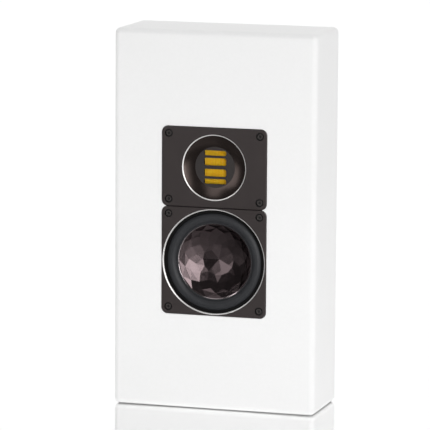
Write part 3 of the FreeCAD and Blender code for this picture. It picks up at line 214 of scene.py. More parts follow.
class Finish:
    """A mottled finish in the making. Its look is a colour, a roughness and a metallic value, and other looks
    can lie over it in places. Sizes are in millimetres."""

    def __init__(self, name, low, high, rough, metallic=0.0, specular=0.5, centre=(0, 0, 0), clouds=25.0,
                 specks=900.0, share=0.4):
        self.material, self.tree, self.shader, self.vector = new_material(name, centre)
        self.shader.inputs["Specular IOR Level"].default_value = specular
        shades = place_group(self.tree, MOTTLE, Vector=self.vector, Low=(*low, 1), High=(*high, 1),
                             Cloud_Scale=clouds, Speck_Scale=specks, Speck_Share=share)
        spread = add(self.tree, "ShaderNodeMapRange", Value=shades["Mask"], To_Min=rough[0], To_Max=rough[1])
        self.set_look(shades["Colour"], spread.outputs[0], metallic)

    def set_look(self, *look):
        """Takes a look for the whole finish, in sockets or plain values."""
        self.look = look
        for entry, value in zip(("Base Color", "Roughness", "Metallic"), look):
            feed(self.tree, self.shader.inputs[entry], value)

    def cover(self, mask, look):
        """Lays another look over this one by a mask."""
        kinds = ("RGBA", "FLOAT", "FLOAT")
        self.set_look(*[mix(self.tree, mask, under, over, kind)
                        for kind, under, over in zip(kinds, self.look, look)])

    def place(self):
        """The Radius from the axis through the centre, and the Depth along it."""
        return place_group(self.tree, RADIUS, Vector=self.vector)

    def zone(self, **limits):
        """1 where the Radius and the Depth lie between the limits given for them, else 0."""
        place = self.place()
        mask = 1.0
        for measure, (start, end) in limits.items():
            band = place_group(self.tree, BAND, Value=place[measure], From=start * MM, To=end * MM)
            mask = compute(self.tree, "MULTIPLY", mask, band["Mask"])
        return mask

    def raise_bumps(self, height, relief):
        """Bumps with a relief, from a height between 0 and 1."""
        bump = add(self.tree, "ShaderNodeBump", Height=height, Strength=1.0, Distance=relief * MM)
        feed(self.tree, self.shader.inputs["Normal"], bump.outputs[0])

    def add_grain(self, scale, relief, stretch=(1, 1, 1), detail=3.0):
        """Fine bumps from noise, drawn out by a stretch."""
        grain = place_group(self.tree, GRAIN, Vector=self.vector, Scale=scale, Stretch=stretch, Detail=detail)
        self.raise_bumps(grain["Height"], relief)


def grained(name, low, high, rough, scale, relief, stretch=(1, 1, 1), **options):
    """A finish of two shades, with a least and a most roughness, and fine bumps of a scale and a relief."""
    finish = Finish(name, low, high, rough, **options)
    finish.add_grain(scale, relief, stretch)
    return finish.material


def turned(name, low, high, rough, pitch, relief, along=False, **options):
    """A finish with lathe marks round the Y axis, or with windings side by side along it."""
    finish = Finish(name, low, high, rough, **options)
    distance = finish.place()["Depth" if along else "Radius"]
    ridges = place_group(finish.tree, RIDGES, Distance=distance, Pitch=pitch * MM)
    finish.raise_bumps(ridges["Height"], relief)
    return finish.material


# Looks that lie over a finish in places: colour, roughness and metallic value
FLARE_GLOSS = ((0.050, 0.038, 0.0345, 1), 0.2, 0.9)
BRIGHT_CUT = ((0.70, 0.69, 0.68, 1), 0.44, 0.45)
BARE_METAL = ((0.24, 0.21, 0.215, 1), 0.16, 1.0)
# Painted shade: near black for the rubber groove by the woofer ring, which lies in shadow
GROOVE_PAINTED_SHADE = ((0.002, 0.002, 0.002, 1), 0.8, 0.0)
# Painted shade: near black for the screw bores and sockets, which lie in shadow
RECESS_PAINTED_SHADE = ((0.007, 0.006, 0.006, 1), 0.7, 0.0)
TRACK_GREEN = (0.05, 0.16, 0.07, 1)

# Where those looks lie: from the axis of a driver, and behind the front of its plate
FAR = 1000.0
FLARE_RADIUS = 34.0
WOOFER_BEVEL = {"Radius": (55.3, 56.45), "Depth": (-FAR, 1.34)}
TWEETER_BEVEL = {"Radius": (FLARE_RADIUS, 35.05), "Depth": (-FAR, 1.14)}
BORE_DISTANCE = 1.0
BORE_SHADE = 0.7
SOCKET_SHADE = 1.0
# Beyond this radius the surround is coloured with painted shade
GROOVE_SHADE_RADIUS = 51.7
BARE_EDGE = 39.66


def lacquer():
    """White satin lacquer sprayed on fibreboard, with a faint orange peel."""
    finish = Finish("white_lacquer_finish", (0.855, 0.855, 0.852), (0.885, 0.885, 0.884), (0.46, 0.54),
                    specular=0.2, clouds=6.0, specks=300.0)
    finish.add_grain(420.0, 0.02, detail=1.0)
    return finish.material


def plate_finish(name, axis, bevel, flare_radius=None):
    """Dark satin anodising, with a bright bevel round the opening, painted shade in the screw bores and a
    glossier flare.
    """
    finish = Finish(name, (0.0275, 0.0200, 0.0194), (0.0365, 0.0267, 0.0261), (0.40, 0.52), metallic=0.35,
                    centre=axis, clouds=30.0, specks=2600.0, share=0.6)
    if flare_radius:
        finish.cover(finish.zone(Radius=(0.0, flare_radius)), FLARE_GLOSS)
    finish.cover(finish.zone(**bevel), BRIGHT_CUT)
    bores_from = bevel["Radius"][1] + BORE_DISTANCE
    # Painted shade: the deep counterbores round the screws are coloured near black
    finish.cover(finish.zone(Radius=(bores_from, FAR), Depth=(BORE_SHADE, FAR)), RECESS_PAINTED_SHADE)
    finish.add_grain(3200.0, 0.012)
    return finish.material


def surround_finish():
    """Satin rubber, with painted shade round the outer foot of the roll, where the groove by the ring lies in
    shadow.
    """
    finish = Finish("surround_finish", (0.0205, 0.0215, 0.0243), (0.0275, 0.029, 0.0328), (0.46, 0.54),
                    specular=0.22, centre=WOOFER_AXIS, clouds=50.0)
    # Painted shade: the rubber beyond this radius is coloured near black
    finish.cover(finish.zone(Radius=(GROOVE_SHADE_RADIUS, FAR)), GROOVE_PAINTED_SHADE)
    finish.add_grain(2600.0, 0.01)
    return finish.material


def cone_finish():
    """Dark polished metal, with a bare bright edge round the lip."""
    finish = Finish("cone_finish", (0.072, 0.056, 0.058), (0.090, 0.070, 0.073), (0.16, 0.22), metallic=1.0,
                    centre=WOOFER_AXIS, clouds=90.0)
    finish.cover(finish.zone(Radius=(BARE_EDGE, FAR)), BARE_METAL)
    finish.add_grain(2400.0, 0.004)
    return finish.material


def cap_screw_finish():
    """Blackened steel, with painted shade in its matt sockets."""
    finish = Finish("cap_screw_finish", (0.030, 0.025, 0.024), (0.042, 0.036, 0.035), (0.34, 0.48),
                    metallic=0.4, centre=WOOFER_AXIS, clouds=300.0)
    # Painted shade: the hex socket below this depth is coloured near black
    finish.cover(finish.zone(Depth=(SOCKET_SHADE, FAR)), RECESS_PAINTED_SHADE)
    return finish.material


def circuit_board():
    """Solder mask with copper tracks under it."""
    finish = Finish("circuit_board_finish", (0.010, 0.052, 0.026), (0.015, 0.068, 0.034), (0.28, 0.36),
                    clouds=60.0)
    turn = add(finish.tree, "ShaderNodeMapping", Vector=finish.vector, Rotation=(math.pi / 2, 0, 0))
    bricks = add(finish.tree, "ShaderNodeTexBrick", Vector=turn.outputs[0], Scale=60.0, Mortar_Size=0.06)
    tracks = bricks.outputs["Fac"]
    colour, roughness, metallic = finish.look
    finish.set_look(mix(finish.tree, tracks, colour, TRACK_GREEN, "RGBA"), roughness, metallic)
    finish.raise_bumps(tracks, 0.04)
    return finish.material


def post_centre(colour):
    """The middle of a terminal's cap."""
    low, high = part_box(colour + "_post_cap")
    return (low + high) / 2


FINISHES = {
    "cone_metal": cone_finish(),
    "white_lacquer": lacquer(),
    "dark_anodised": plate_finish("woofer_plate_finish", WOOFER_AXIS, WOOFER_BEVEL),
    "surround_rubber": surround_finish(),
    "foil": grained("foil_finish", (0.97, 0.63, 0.014), (1.0, 0.78, 0.03), (0.26, 0.40), 500.0, 0.02,
                    stretch=(1, 1, 0.15), metallic=0.05, centre=TWEETER_AXIS, clouds=200.0),
    "black_steel": grained("black_screw_finish", (0.016, 0.014, 0.014), (0.028, 0.025, 0.024), (0.34, 0.48),
                           3000.0, 0.01, metallic=0.4, clouds=300.0),
    "zinc_steel": grained("zinc_finish", (0.42, 0.42, 0.43), (0.58, 0.58, 0.57), (0.28, 0.42), 800.0, 0.01,
                          metallic=1.0, clouds=120.0),
    "pole_steel": grained("pole_plate_finish", (0.0226, 0.0178, 0.017), (0.0305, 0.0244, 0.0235),
                          (0.42, 0.55), 3200.0, 0.01, metallic=0.35, centre=TWEETER_AXIS, clouds=60.0,
                          specks=2600.0),
    "ferrite": grained("ferrite_finish", (0.030, 0.030, 0.031), (0.052, 0.052, 0.053), (0.55, 0.75),
                       600.0, 0.06, centre=WOOFER_AXIS, clouds=120.0),
    "neodymium": grained("magnet_finish", (0.55, 0.54, 0.51), (0.68, 0.67, 0.64), (0.18, 0.28), 700.0, 0.01,
                         metallic=1.0, clouds=150.0),
    "cast_basket": grained("basket_finish", (0.035, 0.035, 0.036), (0.055, 0.055, 0.056), (0.50, 0.66),
                           1400.0, 0.05, metallic=0.5, centre=WOOFER_AXIS, clouds=80.0),
    "gasket_foam": grained("gasket_finish", (0.018, 0.018, 0.018), (0.045, 0.045, 0.045), (0.85, 0.97),
                           1500.0, 0.15, clouds=500.0),
    "bumper_rubber": grained("bumper_finish", (0.020, 0.020, 0.020), (0.033, 0.033, 0.033), (0.55, 0.70),
                             1800.0, 0.03, clouds=200.0),
    "spider_cloth": grained("spider_finish", (0.46, 0.27, 0.10), (0.62, 0.39, 0.17), (0.75, 0.90),
                            1600.0, 0.10, centre=WOOFER_AXIS, clouds=300.0),
    "former": turned("former_finish", (0.50, 0.30, 0.08), (0.60, 0.38, 0.12), (0.30, 0.40), 0.8, 0.01,
                     along=True, centre=WOOFER_AXIS),
    "copper": turned("winding_finish", (0.52, 0.20, 0.08), (0.70, 0.30, 0.13), (0.24, 0.36), 0.7, 0.12,
                     along=True, metallic=1.0),
    "tag_board": grained("tag_board_finish", (0.24, 0.12, 0.045), (0.34, 0.18, 0.07), (0.45, 0.60),
                         500.0, 0.04, stretch=(0.2, 1, 1), clouds=150.0),
    "tags": grained("tag_finish", (0.62, 0.61, 0.58), (0.74, 0.73, 0.70), (0.22, 0.34), 900.0, 0.01,
                    metallic=1.0),
    "black_moulding": grained("moulding_finish", (0.016, 0.016, 0.017), (0.026, 0.026, 0.027), (0.48, 0.60),
                              1300.0, 0.04, clouds=60.0),
    "felt": grained("felt_finish", (0.10, 0.10, 0.105), (0.19, 0.19, 0.195), (0.90, 1.0), 900.0, 0.3,
                    clouds=260.0),
    "wool": grained("wool_finish", (0.60, 0.57, 0.50), (0.78, 0.76, 0.70), (0.88, 1.0), 260.0, 1.2,
                    stretch=(1, 1, 0.3), clouds=70.0, specks=500.0),
    "circuit_board": circuit_board(),
    "film_case": grained("capacitor_finish", (0.42, 0.07, 0.03), (0.52, 0.10, 0.045), (0.30, 0.42),
                         700.0, 0.03, clouds=120.0),
    "can_sleeve": turned("sleeve_finish", (0.015, 0.025, 0.07), (0.024, 0.038, 0.095), (0.24, 0.34),
                         4.0, 0.04, along=True, clouds=90.0),
    "cement": grained("cement_finish", (0.62, 0.61, 0.57), (0.74, 0.73, 0.69), (0.75, 0.90), 900.0, 0.12,
                      clouds=160.0),
    "post_brass": turned("brass_finish", (0.66, 0.46, 0.17), (0.80, 0.60, 0.26), (0.20, 0.32), 0.5, 0.02,
                         along=True, metallic=1.0, clouds=200.0),
    "red_cap": turned("red_cap_finish", (0.42, 0.012, 0.012), (0.52, 0.020, 0.018), (0.26, 0.36), 0.7, 0.01,
                      centre=post_centre("red"), clouds=150.0),
    "black_cap": turned("black_cap_finish", (0.012, 0.012, 0.013), (0.020, 0.020, 0.021), (0.26, 0.36),
                        0.7, 0.01, centre=post_centre("black"), clouds=150.0),
}
TWEETER_PLATE_FINISH = plate_finish("tweeter_plate_finish", TWEETER_AXIS, TWEETER_BEVEL, FLARE_RADIUS)
CAP_SCREW_FINISH = cap_screw_finish()

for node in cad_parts.values():
    for slot in node.material_slots:
        slot.material = FINISHES[slot.material.name]
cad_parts["tweeter_faceplate"].material_slots[0].material = TWEETER_PLATE_FINISH

# Ways of shaping, in millimetres, with Y as the axis that runs into the cabinet

ACROSS = Matrix.Rotation(math.pi / 2, 4, "X")
# Corners that lie closer than this, in metres, are one
TOUCHING = 1e-6


def all_of(shape):
    """All corners, edges and faces of a shape."""
    return shape.verts[:] + shape.edges[:] + shape.faces[:]


def verts_of(items):
    """The corners among some items."""
    return [item for item in items if isinstance(item, bmesh.types.BMVert)]


def edges_at(verts):
    """The edges that end at some corners, each once."""
    return list(dict.fromkeys(edge for vert in verts for edge in vert.link_edges))


def open_edges(shape):
    """The edges round the outside of a sheet."""
    return [edge for edge in shape.edges if edge.is_boundary]


def move(shape, items, offset):
    """Moves the corners among some items by an offset in metres."""
    bmesh.ops.translate(shape, verts=verts_of(items), vec=offset)


def face_out(shape):
    """Turns the faces of a closed shape outwards, and those of an open sheet one way."""
    bmesh.ops.recalc_face_normals(shape, faces=shape.faces)


def face_front(shape):
    """Turns an open sheet so that its faces look out of the cabinet."""
    face_out(shape)
    if sum(face.normal.y * face.calc_area() for face in shape.faces) > 0:
        bmesh.ops.reverse_faces(shape, faces=shape.faces)


def thicken(shape, wall):
    """Gives a sheet that looks out of the cabinet a wall behind it."""
    bmesh.ops.solidify(shape, geom=shape.faces, thickness=wall * MM)


def spin_round(shape, stops, steps, closed=False):
    """Turns a profile of (radius, depth) stops about the Y axis."""
    corners = [shape.verts.new((radius * MM, depth * MM, 0)) for radius, depth in stops]
    pairs = list(zip(corners, corners[1:]))
    if closed:
        pairs.append((corners[-1], corners[0]))
    lines = [shape.edges.new(pair) for pair in pairs]
    bmesh.ops.spin(shape, geom=corners + lines, axis=(0, 1, 0), angle=math.tau, steps=steps, use_merge=True)
    bmesh.ops.remove_doubles(shape, verts=shape.verts, dist=TOUCHING)
    face_out(shape)


def add_ring(shape, section, steps):
    """Adds a closed ring to a shape, with a section of (radius, depth) stops."""
    ring = bmesh.new()
    spin_round(ring, section, steps, closed=True)
    mesh = bpy.data.meshes.new("ring")
    ring.to_mesh(mesh)
    ring.free()
    shape.from_mesh(mesh)
    bpy.data.meshes.remove(mesh)


def soften(shape, width, angle=30, segments=3, front_only=False):
    """Rounds the edges that turn by more than an angle in degrees, or only those of them at depth 0."""
    sharp = [edge for edge in shape.edges
             if edge.is_manifold and edge.calc_face_angle(0) > math.radians(angle)
             and not (front_only and any(abs(vert.co.y) > TOUCHING for vert in edge.verts))]
    bmesh.ops.bevel(shape, geom=sharp, offset=width * MM, offset_type="OFFSET", segments=segments,
                    profile=0.5, affect="EDGES", material=-1, clamp_overlap=True)


def circle_edges(shape, count, radius):
    """A ring of edges in the plane across the Y axis."""
    verts = bmesh.ops.create_circle(shape, segments=count, radius=radius * MM, matrix=ACROSS)["verts"]
    return edges_at(verts)


def square(shape, width):
    """The corners of a square face in the plane across the Y axis."""
    return bmesh.ops.create_grid(
        shape, x_segments=1, y_segments=1, size=width / 2 * MM, matrix=ACROSS)["verts"]


def push(shape, edges, depth=0.0, scale=1.0):
    """Extrudes a ring of edges along Y, narrows or widens it, and returns the new ring."""
    made = bmesh.ops.extrude_edge_only(shape, edges=edges)["geom"]
    move(shape, made, (0, depth * MM, 0))
    bmesh.ops.scale(shape, verts=verts_of(made), vec=(scale, 1, scale))
    return [item for item in made if isinstance(item, bmesh.types.BMEdge)]


def cap(shape, edges):
    """Closes a ring of edges with a face."""
    bmesh.ops.contextual_create(shape, geom=edges)


def repeat(shape, spots, turns):
    """Copies a shape to each (x, y, z) spot in metres, turned about its own axis by so many degrees."""
    pattern = all_of(shape)
    for spot, turn in zip(spots, turns):
        copied = bmesh.ops.duplicate(shape, geom=pattern)["geom"]
        bmesh.ops.rotate(shape, verts=verts_of(copied), cent=(0, 0, 0),
                         matrix=Matrix.Rotation(math.radians(turn), 3, "Y"))
        move(shape, copied, spot)
    bmesh.ops.delete(shape, geom=verts_of(pattern))


def spots_on(node, inset, depth, rows=2):
    """Spots in two columns, inset from the edges of a node's box, at a depth along Y in metres."""
    low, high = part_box(node)
    columns = (low.x + inset * MM, high.x - inset * MM)
    bottom, top = low.z + inset * MM, high.z - inset * MM
    return [(x, depth, bottom + (top - bottom) * row / (rows - 1)) for x in columns for row in range(rows)]


def make_piece(shape, name, slot, body="cabinet", stands_for=(), smooth=35, carried=True, finish=None):
    """Turns a shape into a piece that rides on a body and takes the place of plainer solids."""
    mesh = bpy.data.meshes.new(name)
    shape.to_mesh(mesh)
    shape.free()
    for polygon in mesh.polygons:
        polygon.use_smooth = smooth > 0
    if smooth > 0:
        mesh.set_sharp_from_angle(angle=math.radians(smooth))
    mesh.materials.append(finish or FINISHES[slot])
    piece = bpy.data.objects.new(name, mesh)
    bpy.context.scene.collection.objects.link(piece)
    if carried:
        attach(piece, body)
    if stands_for:
        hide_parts(*stands_for)
    return piece


def hang_between(piece, axis, outer, inner):
    """Lets a ring of cloth or rubber follow the cabinet at its outer radius and the cone at its inner one."""
    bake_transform(piece, "cabinet", "cone", start=axis, end=axis + Vector((0, 1, 0)))
    weights = piece.data.attributes["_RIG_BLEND"].data
    for vert in piece.data.vertices:
        reach = math.hypot(vert.co.x - axis.x, vert.co.z - axis.z)
        share = min(max((outer * MM - reach) / ((outer - inner) * MM), 0.0), 1.0)
        weights[vert.index].value = share * share * (3 - 2 * share)


# Woofer

SURROUND_RADIUS = 54.8
SURROUND_BORE = 40.4
SURROUND_FRONT = 4.2
SURROUND_THICKNESS = 0.8
ROLL_OUTER = 52.2
ROLL_INNER = 41.6
ROLL_DROP = 1.3
BOWL_RADIUS = 39.8
BOWL_DEPTH = 15.3
LIP_DEPTH = 5.0
BEAD_FOOT = 39.6
BEAD_CROWN = 40.24
BEAD_LAND = 0.2
BEAD_HEIGHT = 0.46
BEAD_SINK = 0.1
CONE_THICKNESS = 0.8
CREASE_ROUNDING = 0.16
COLLAR_RADII = (12.6, 13.2)
COLLAR_LENGTH = 3.5
COLLAR_END = 22.6
FACET_CORNERS = 14
# The cone's rings of corners, from the middle out: share of the bowl's radius, share of its depth
# above the middle, and turn in half steps of the corners.
FACET_RINGS = (
    (0.309, 0.102, 0),
    (0.425, 0.157, 0),
    (0.613, 0.325, 1),
    (0.774, 0.525, 0),
    (0.882, 0.730, 1),
    (1.0, 1.0, 0),
)
FLAT_WITHIN = math.radians(1.5)
SPIDER_THICKNESS = 0.6
SPIDER_BORE = 12.65
SPIDER_NECK = 1.0
SPIDER_LAND = 3.5
SPIDER_RIPPLES = 4
SPIDER_ROUNDING = 0.8


def rubber_surround():
    """A half roll of rubber with a flat foot on each side."""
    shape = bmesh.new()
    middle = (ROLL_OUTER + ROLL_INNER) / 2
    half = (ROLL_OUTER - ROLL_INNER) / 2
    centre = (middle * MM, (SURROUND_FRONT + ROLL_DROP) * MM, 0)
    sweep = math.pi - 2 * math.atan2(ROLL_DROP, half)
    start = shape.verts.new((ROLL_OUTER * MM, SURROUND_FRONT * MM, 0))
    foot = shape.verts.new((SURROUND_RADIUS * MM, SURROUND_FRONT * MM, 0))
    shape.edges.new((foot, start))
    roll = bmesh.ops.spin(shape, geom=[start], cent=centre, axis=(0, 0, 1), angle=-sweep, steps=24)
    inner = shape.verts.new((SURROUND_BORE * MM, SURROUND_FRONT * MM, 0))
    shape.edges.new((roll["geom_last"][0], inner))
    bmesh.ops.spin(shape, geom=shape.verts[:] + shape.edges[:], axis=(0, 1, 0), angle=math.tau, steps=128,
                   use_merge=True)
    face_front(shape)
    thicken(shape, SURROUND_THICKNESS)
    move(shape, shape.verts, WOOFER_AXIS)
    piece = make_piece(shape, "rubber_surround", "surround_rubber", stands_for=["woofer_surround"],
                       carried=False)
    hang_between(piece, WOOFER_AXIS, ROLL_OUTER, ROLL_INNER)


def facet_wedge(shape):
    """A seventh of the faceted bowl: part of the star in the middle, then bands of triangles."""
    made = {}

    def corner(ring, number):
        if (ring, number) not in made:
            share, rise, turn = FACET_RINGS[ring]
            count = FACET_CORNERS // 2 if ring == 0 else FACET_CORNERS
            angle = math.pi + math.tau * number / count + turn * math.pi / FACET_CORNERS
            depth = LIP_DEPTH + BOWL_DEPTH * (1 - rise)
            reach = share * BOWL_RADIUS
            made[ring, number] = shape.verts.new(
                (reach * math.cos(angle) * MM, depth * MM, reach * math.sin(angle) * MM))
        return made[ring, number]

    middle = shape.verts.new((0, (LIP_DEPTH + BOWL_DEPTH) * MM, 0))
    shape.faces.new((middle, corner(0, 0), corner(0, 1)))
    shape.faces.new((corner(0, 0), corner(1, 1), corner(0, 1)))
    shape.faces.new((corner(0, 0), corner(1, 0), corner(1, 1)))
    shape.faces.new((corner(0, 0), corner(1, -1), corner(1, 0)))
    for ring in range(1, len(FACET_RINGS) - 1):
        ahead = FACET_RINGS[ring + 1][2]
        for number in (0, 1):
            inner = corner(ring, number), corner(ring, number + 1)
            outer = corner(ring + 1, number), corner(ring + 1, number + 1)
            if ahead:
                shape.faces.new((inner[0], outer[0], inner[1]))
                shape.faces.new((outer[0], outer[1], inner[1]))
            else:
                shape.faces.new((inner[0], outer[1], inner[1]))
                shape.faces.new((inner[0], outer[0], outer[1]))


def faceted_cone():
    """The pressed metal bowl, its creases slightly rounded, with a beaded lip and a collar for the coil."""
    shape = bmesh.new()
    facet_wedge(shape)
    wedges = FACET_CORNERS // 2
    bmesh.ops.spin(shape, geom=all_of(shape), axis=(0, 1, 0), angle=math.tau * (wedges - 1) / wedges,
                   steps=wedges - 1, use_duplicate=True)
    bmesh.ops.remove_doubles(shape, verts=shape.verts, dist=TOUCHING)
    bmesh.ops.dissolve_limit(shape, angle_limit=FLAT_WITHIN, verts=shape.verts, edges=shape.edges)
    bmesh.ops.subdivide_edges(shape, edges=open_edges(shape), cuts=3)
    lip = push(shape, open_edges(shape))
    for vert in {vert for edge in lip for vert in edge.verts}:
        vert.co *= ROLL_INNER * MM / math.hypot(vert.co.x, vert.co.z)
        vert.co.y = LIP_DEPTH * MM
    face_front(shape)
    soften(shape, CREASE_ROUNDING, angle=3, segments=2)
    thicken(shape, CONE_THICKNESS)
    inside, outside = COLLAR_RADII
    start = COLLAR_END - COLLAR_LENGTH
    collar = [(inside, start), (outside, start), (outside, COLLAR_END), (inside, COLLAR_END)]
    add_ring(shape, collar, steps=64)
    foot = LIP_DEPTH + BEAD_SINK
    crown = LIP_DEPTH - BEAD_HEIGHT
    bead = [(BEAD_FOOT, foot), (BEAD_CROWN, crown), (BEAD_CROWN + BEAD_LAND, crown), (BEAD_CROWN, foot)]
    add_ring(shape, bead, steps=112)
    move(shape, shape.verts, WOOFER_AXIS)
    make_piece(shape, "faceted_cone", "cone_metal", body="cone", stands_for=["woofer_cone"], smooth=0)


def corrugated_spider():
    """The woven disc behind the cone, pressed in rings."""
    low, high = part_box("woofer_spider")
    radius = (high.x - low.x) / 2 / MM
    front = (low.y - PLATE_FRONT) / MM
    wave = (high.y - low.y) / MM - SPIDER_THICKNESS
    land = radius - SPIDER_LAND
    first = SPIDER_BORE + SPIDER_NECK
    step = (land - first) / (2 * SPIDER_RIPPLES)
    stops = [(SPIDER_BORE, front + wave / 2)]
    for number in range(2 * SPIDER_RIPPLES + 1):
        stops.append((first + step * number, front + (wave if number % 2 else 0.0)))
    stops.append((radius, front + wave))
    shape = bmesh.new()
    spin_round(shape, stops, steps=96)
    soften(shape, SPIDER_ROUNDING, angle=20, segments=4)
    face_front(shape)
    thicken(shape, SPIDER_THICKNESS)
    move(shape, shape.verts, WOOFER_AXIS)
    piece = make_piece(shape, "corrugated_spider", "spider_cloth", stands_for=["woofer_spider"], smooth=60,
                       carried=False)
    hang_between(piece, WOOFER_AXIS, land, SPIDER_BORE)


# Tweeter

FOIL_PLEATS = 15
FOIL_FOLD = 0.3
FOIL_ROUNDING = 0.12
FOIL_THICKNESS = 0.08
FOIL_CLEARANCE = 0.4
FELT_ROUNDING = 0.7


def pleated_foil():
    """The golden film, folded into upright pleats with rounded folds."""
    low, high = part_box("tweeter_foil")
    pitch = (high.x - low.x) / FOIL_PLEATS
    front, back = low.y, high.y - FOIL_CLEARANCE * MM
    fold = FOIL_FOLD / 2 * MM
    shape = bmesh.new()
    stops = [(0, back), (fold, back), (pitch / 2 - fold, front), (pitch / 2 + fold, front),
             (pitch - fold, back), (pitch, back)]
    corners = [shape.verts.new((low.x + x, y, low.z)) for x, y in stops]
    lines = [shape.edges.new(pair) for pair in zip(corners, corners[1:])]
    pattern = corners + lines
    for number in range(1, FOIL_PLEATS):
        copied = bmesh.ops.duplicate(shape, geom=pattern)["geom"]
        move(shape, copied, (pitch * number, 0, 0))
    bmesh.ops.remove_doubles(shape, verts=shape.verts, dist=TOUCHING)
    made = bmesh.ops.extrude_edge_only(shape, edges=shape.edges[:])["geom"]
    move(shape, made, (0, 0, high.z - low.z))
    face_out(shape)
    soften(shape, FOIL_ROUNDING, angle=20)
    face_front(shape)
    thicken(shape, FOIL_THICKNESS)
    make_piece(shape, "pleated_foil", "foil", stands_for=["tweeter_foil"], smooth=40)


def felt_disc():
    """A soft disc of felt with rubbed edges behind the rear pole plate."""
    low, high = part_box("tweeter_felt")
    centre = (low + high) / 2
    shape = bmesh.new()
    edge = circle_edges(shape, 72, (high.x - low.x) / 2 / MM)
    cap(shape, edge)
    back = push(shape, edge, depth=(high.y - low.y) / MM)
    cap(shape, back)
    face_out(shape)
    soften(shape, FELT_ROUNDING, angle=40, segments=4)
    move(shape, shape.verts, (centre.x, low.y, centre.z))
    make_piece(shape, "felt_disc", "felt", stands_for=["tweeter_felt"])


# Fasteners, bumpers and marks

THREAD_DEPTH = 0.12
CAP_HEAD_RADIUS = 3.0
CAP_HEAD_HEIGHT = 2.5
CAP_HEAD_ROUNDING = 0.28
CAP_SHANK_RADIUS = 1.7
CAP_THREAD_PITCH = 0.8
SOCKET_WIDTH = 2.6
SOCKET_DEPTH = 1.6
SOCKET_POINT = 0.35
# Shares of the width that are left at the ends of the points
SHANK_TIP = 0.12
SOCKET_TIP = 0.1
WOOD_HEAD_RADIUS = 3.0
WOOD_SHANK_RADIUS = 1.5
WOOD_THREAD_PITCH = 1.1
RECESS_WIDTH = 0.9
RECESS_ARM = 1.05
RECESS_DEPTH = 1.1
RECESS_TAPER = 0.45
BUMPER_RADIUS = 7.0
BUMPER_CHAMFER = 0.6
BUMPER_ROUNDING = 0.35
DIMPLE_RADII = (3.2, 2.4)
DIMPLE_DEPTH = 0.9
MARK_STROKE = 1.0
MARK_ARM = 1.6
MARK_RELIEF = 0.5
MARK_ROUNDING = 0.12
MARK_RISE = 14.5
CUP_FLOOR_DEPTH = 2.0


def threaded_shank(shape, edges, radius, length, pitch):
    """Ridges of a thread down a shank that starts at a ring of edges, with a cut point."""
    root = 1 - THREAD_DEPTH / radius
    ring = push(shape, edges, depth=pitch)
    for _ in range(int((length - pitch - radius) / pitch)):
        ring = push(shape, ring, depth=pitch / 2, scale=root)
        ring = push(shape, ring, depth=pitch / 2, scale=1 / root)
    ring = push(shape, ring, depth=radius, scale=SHANK_TIP)
    cap(shape, ring)


def cap_screws(name, node, turns):
    """Four black socket screws, their hexagons left at whatever angle they were tightened to."""
    low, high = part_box(node)
    shape = bmesh.new()
    rim = circle_edges(shape, 32, CAP_HEAD_RADIUS)
    socket = circle_edges(shape, 6, SOCKET_WIDTH / math.sqrt(3))
    bmesh.ops.triangle_fill(shape, edges=rim + socket, use_beauty=True)
    bottom = push(shape, socket, depth=SOCKET_DEPTH)
    bottom = push(shape, bottom, depth=SOCKET_POINT, scale=SOCKET_TIP)
    cap(shape, bottom)
    seat = push(shape, rim, depth=CAP_HEAD_HEIGHT)
    neck = push(shape, seat, scale=CAP_SHANK_RADIUS / CAP_HEAD_RADIUS)
    length = (high.y - low.y) / MM - CAP_HEAD_HEIGHT
    threaded_shank(shape, neck, CAP_SHANK_RADIUS, length, CAP_THREAD_PITCH)
    face_out(shape)
    soften(shape, CAP_HEAD_ROUNDING, front_only=True)
    repeat(shape, spots_on(node, CAP_HEAD_RADIUS, low.y), turns)
    make_piece(shape, name, "black_steel", stands_for=[node], finish=CAP_SCREW_FINISH)


def flat_cross(shape, width, arm):
    """A cross of five faces in the plane across the Y axis."""
    for side in edges_at(square(shape, width)):
        outward = (side.verts[0].co + side.verts[1].co).normalized()
        made = bmesh.ops.extrude_edge_only(shape, edges=[side])["geom"]
        move(shape, made, outward * arm * MM)


def wood_screws(name, node, slot, length, turns, rows=2):
    """Countersunk screws with cross recesses, each at its own angle, their heads level with the back."""
    shape = bmesh.new()
    flat_cross(shape, RECESS_WIDTH, RECESS_ARM)
    outline = open_edges(shape)
    bmesh.ops.delete(shape, geom=shape.faces[:], context="FACES_ONLY")
    inside = [edge for edge in shape.edges if edge not in outline]
    bmesh.ops.delete(shape, geom=inside, context="EDGES")
    rim = circle_edges(shape, 28, WOOD_HEAD_RADIUS)
    bmesh.ops.triangle_fill(shape, edges=rim + outline, use_beauty=True)
    bottom = push(shape, outline, depth=RECESS_DEPTH, scale=RECESS_TAPER)
    cap(shape, bottom)
    sink = WOOD_HEAD_RADIUS - WOOD_SHANK_RADIUS
    neck = push(shape, rim, depth=sink, scale=WOOD_SHANK_RADIUS / WOOD_HEAD_RADIUS)
    threaded_shank(shape, neck, WOOD_SHANK_RADIUS, length - sink, WOOD_THREAD_PITCH)
    face_out(shape)
    bmesh.ops.rotate(shape, verts=shape.verts, cent=(0, 0, 0), matrix=Matrix.Rotation(math.pi, 3, "X"))
    repeat(shape, spots_on(node, WOOD_HEAD_RADIUS, CABINET_BACK, rows), turns)
    make_piece(shape, name, slot, stands_for=[node], smooth=30)


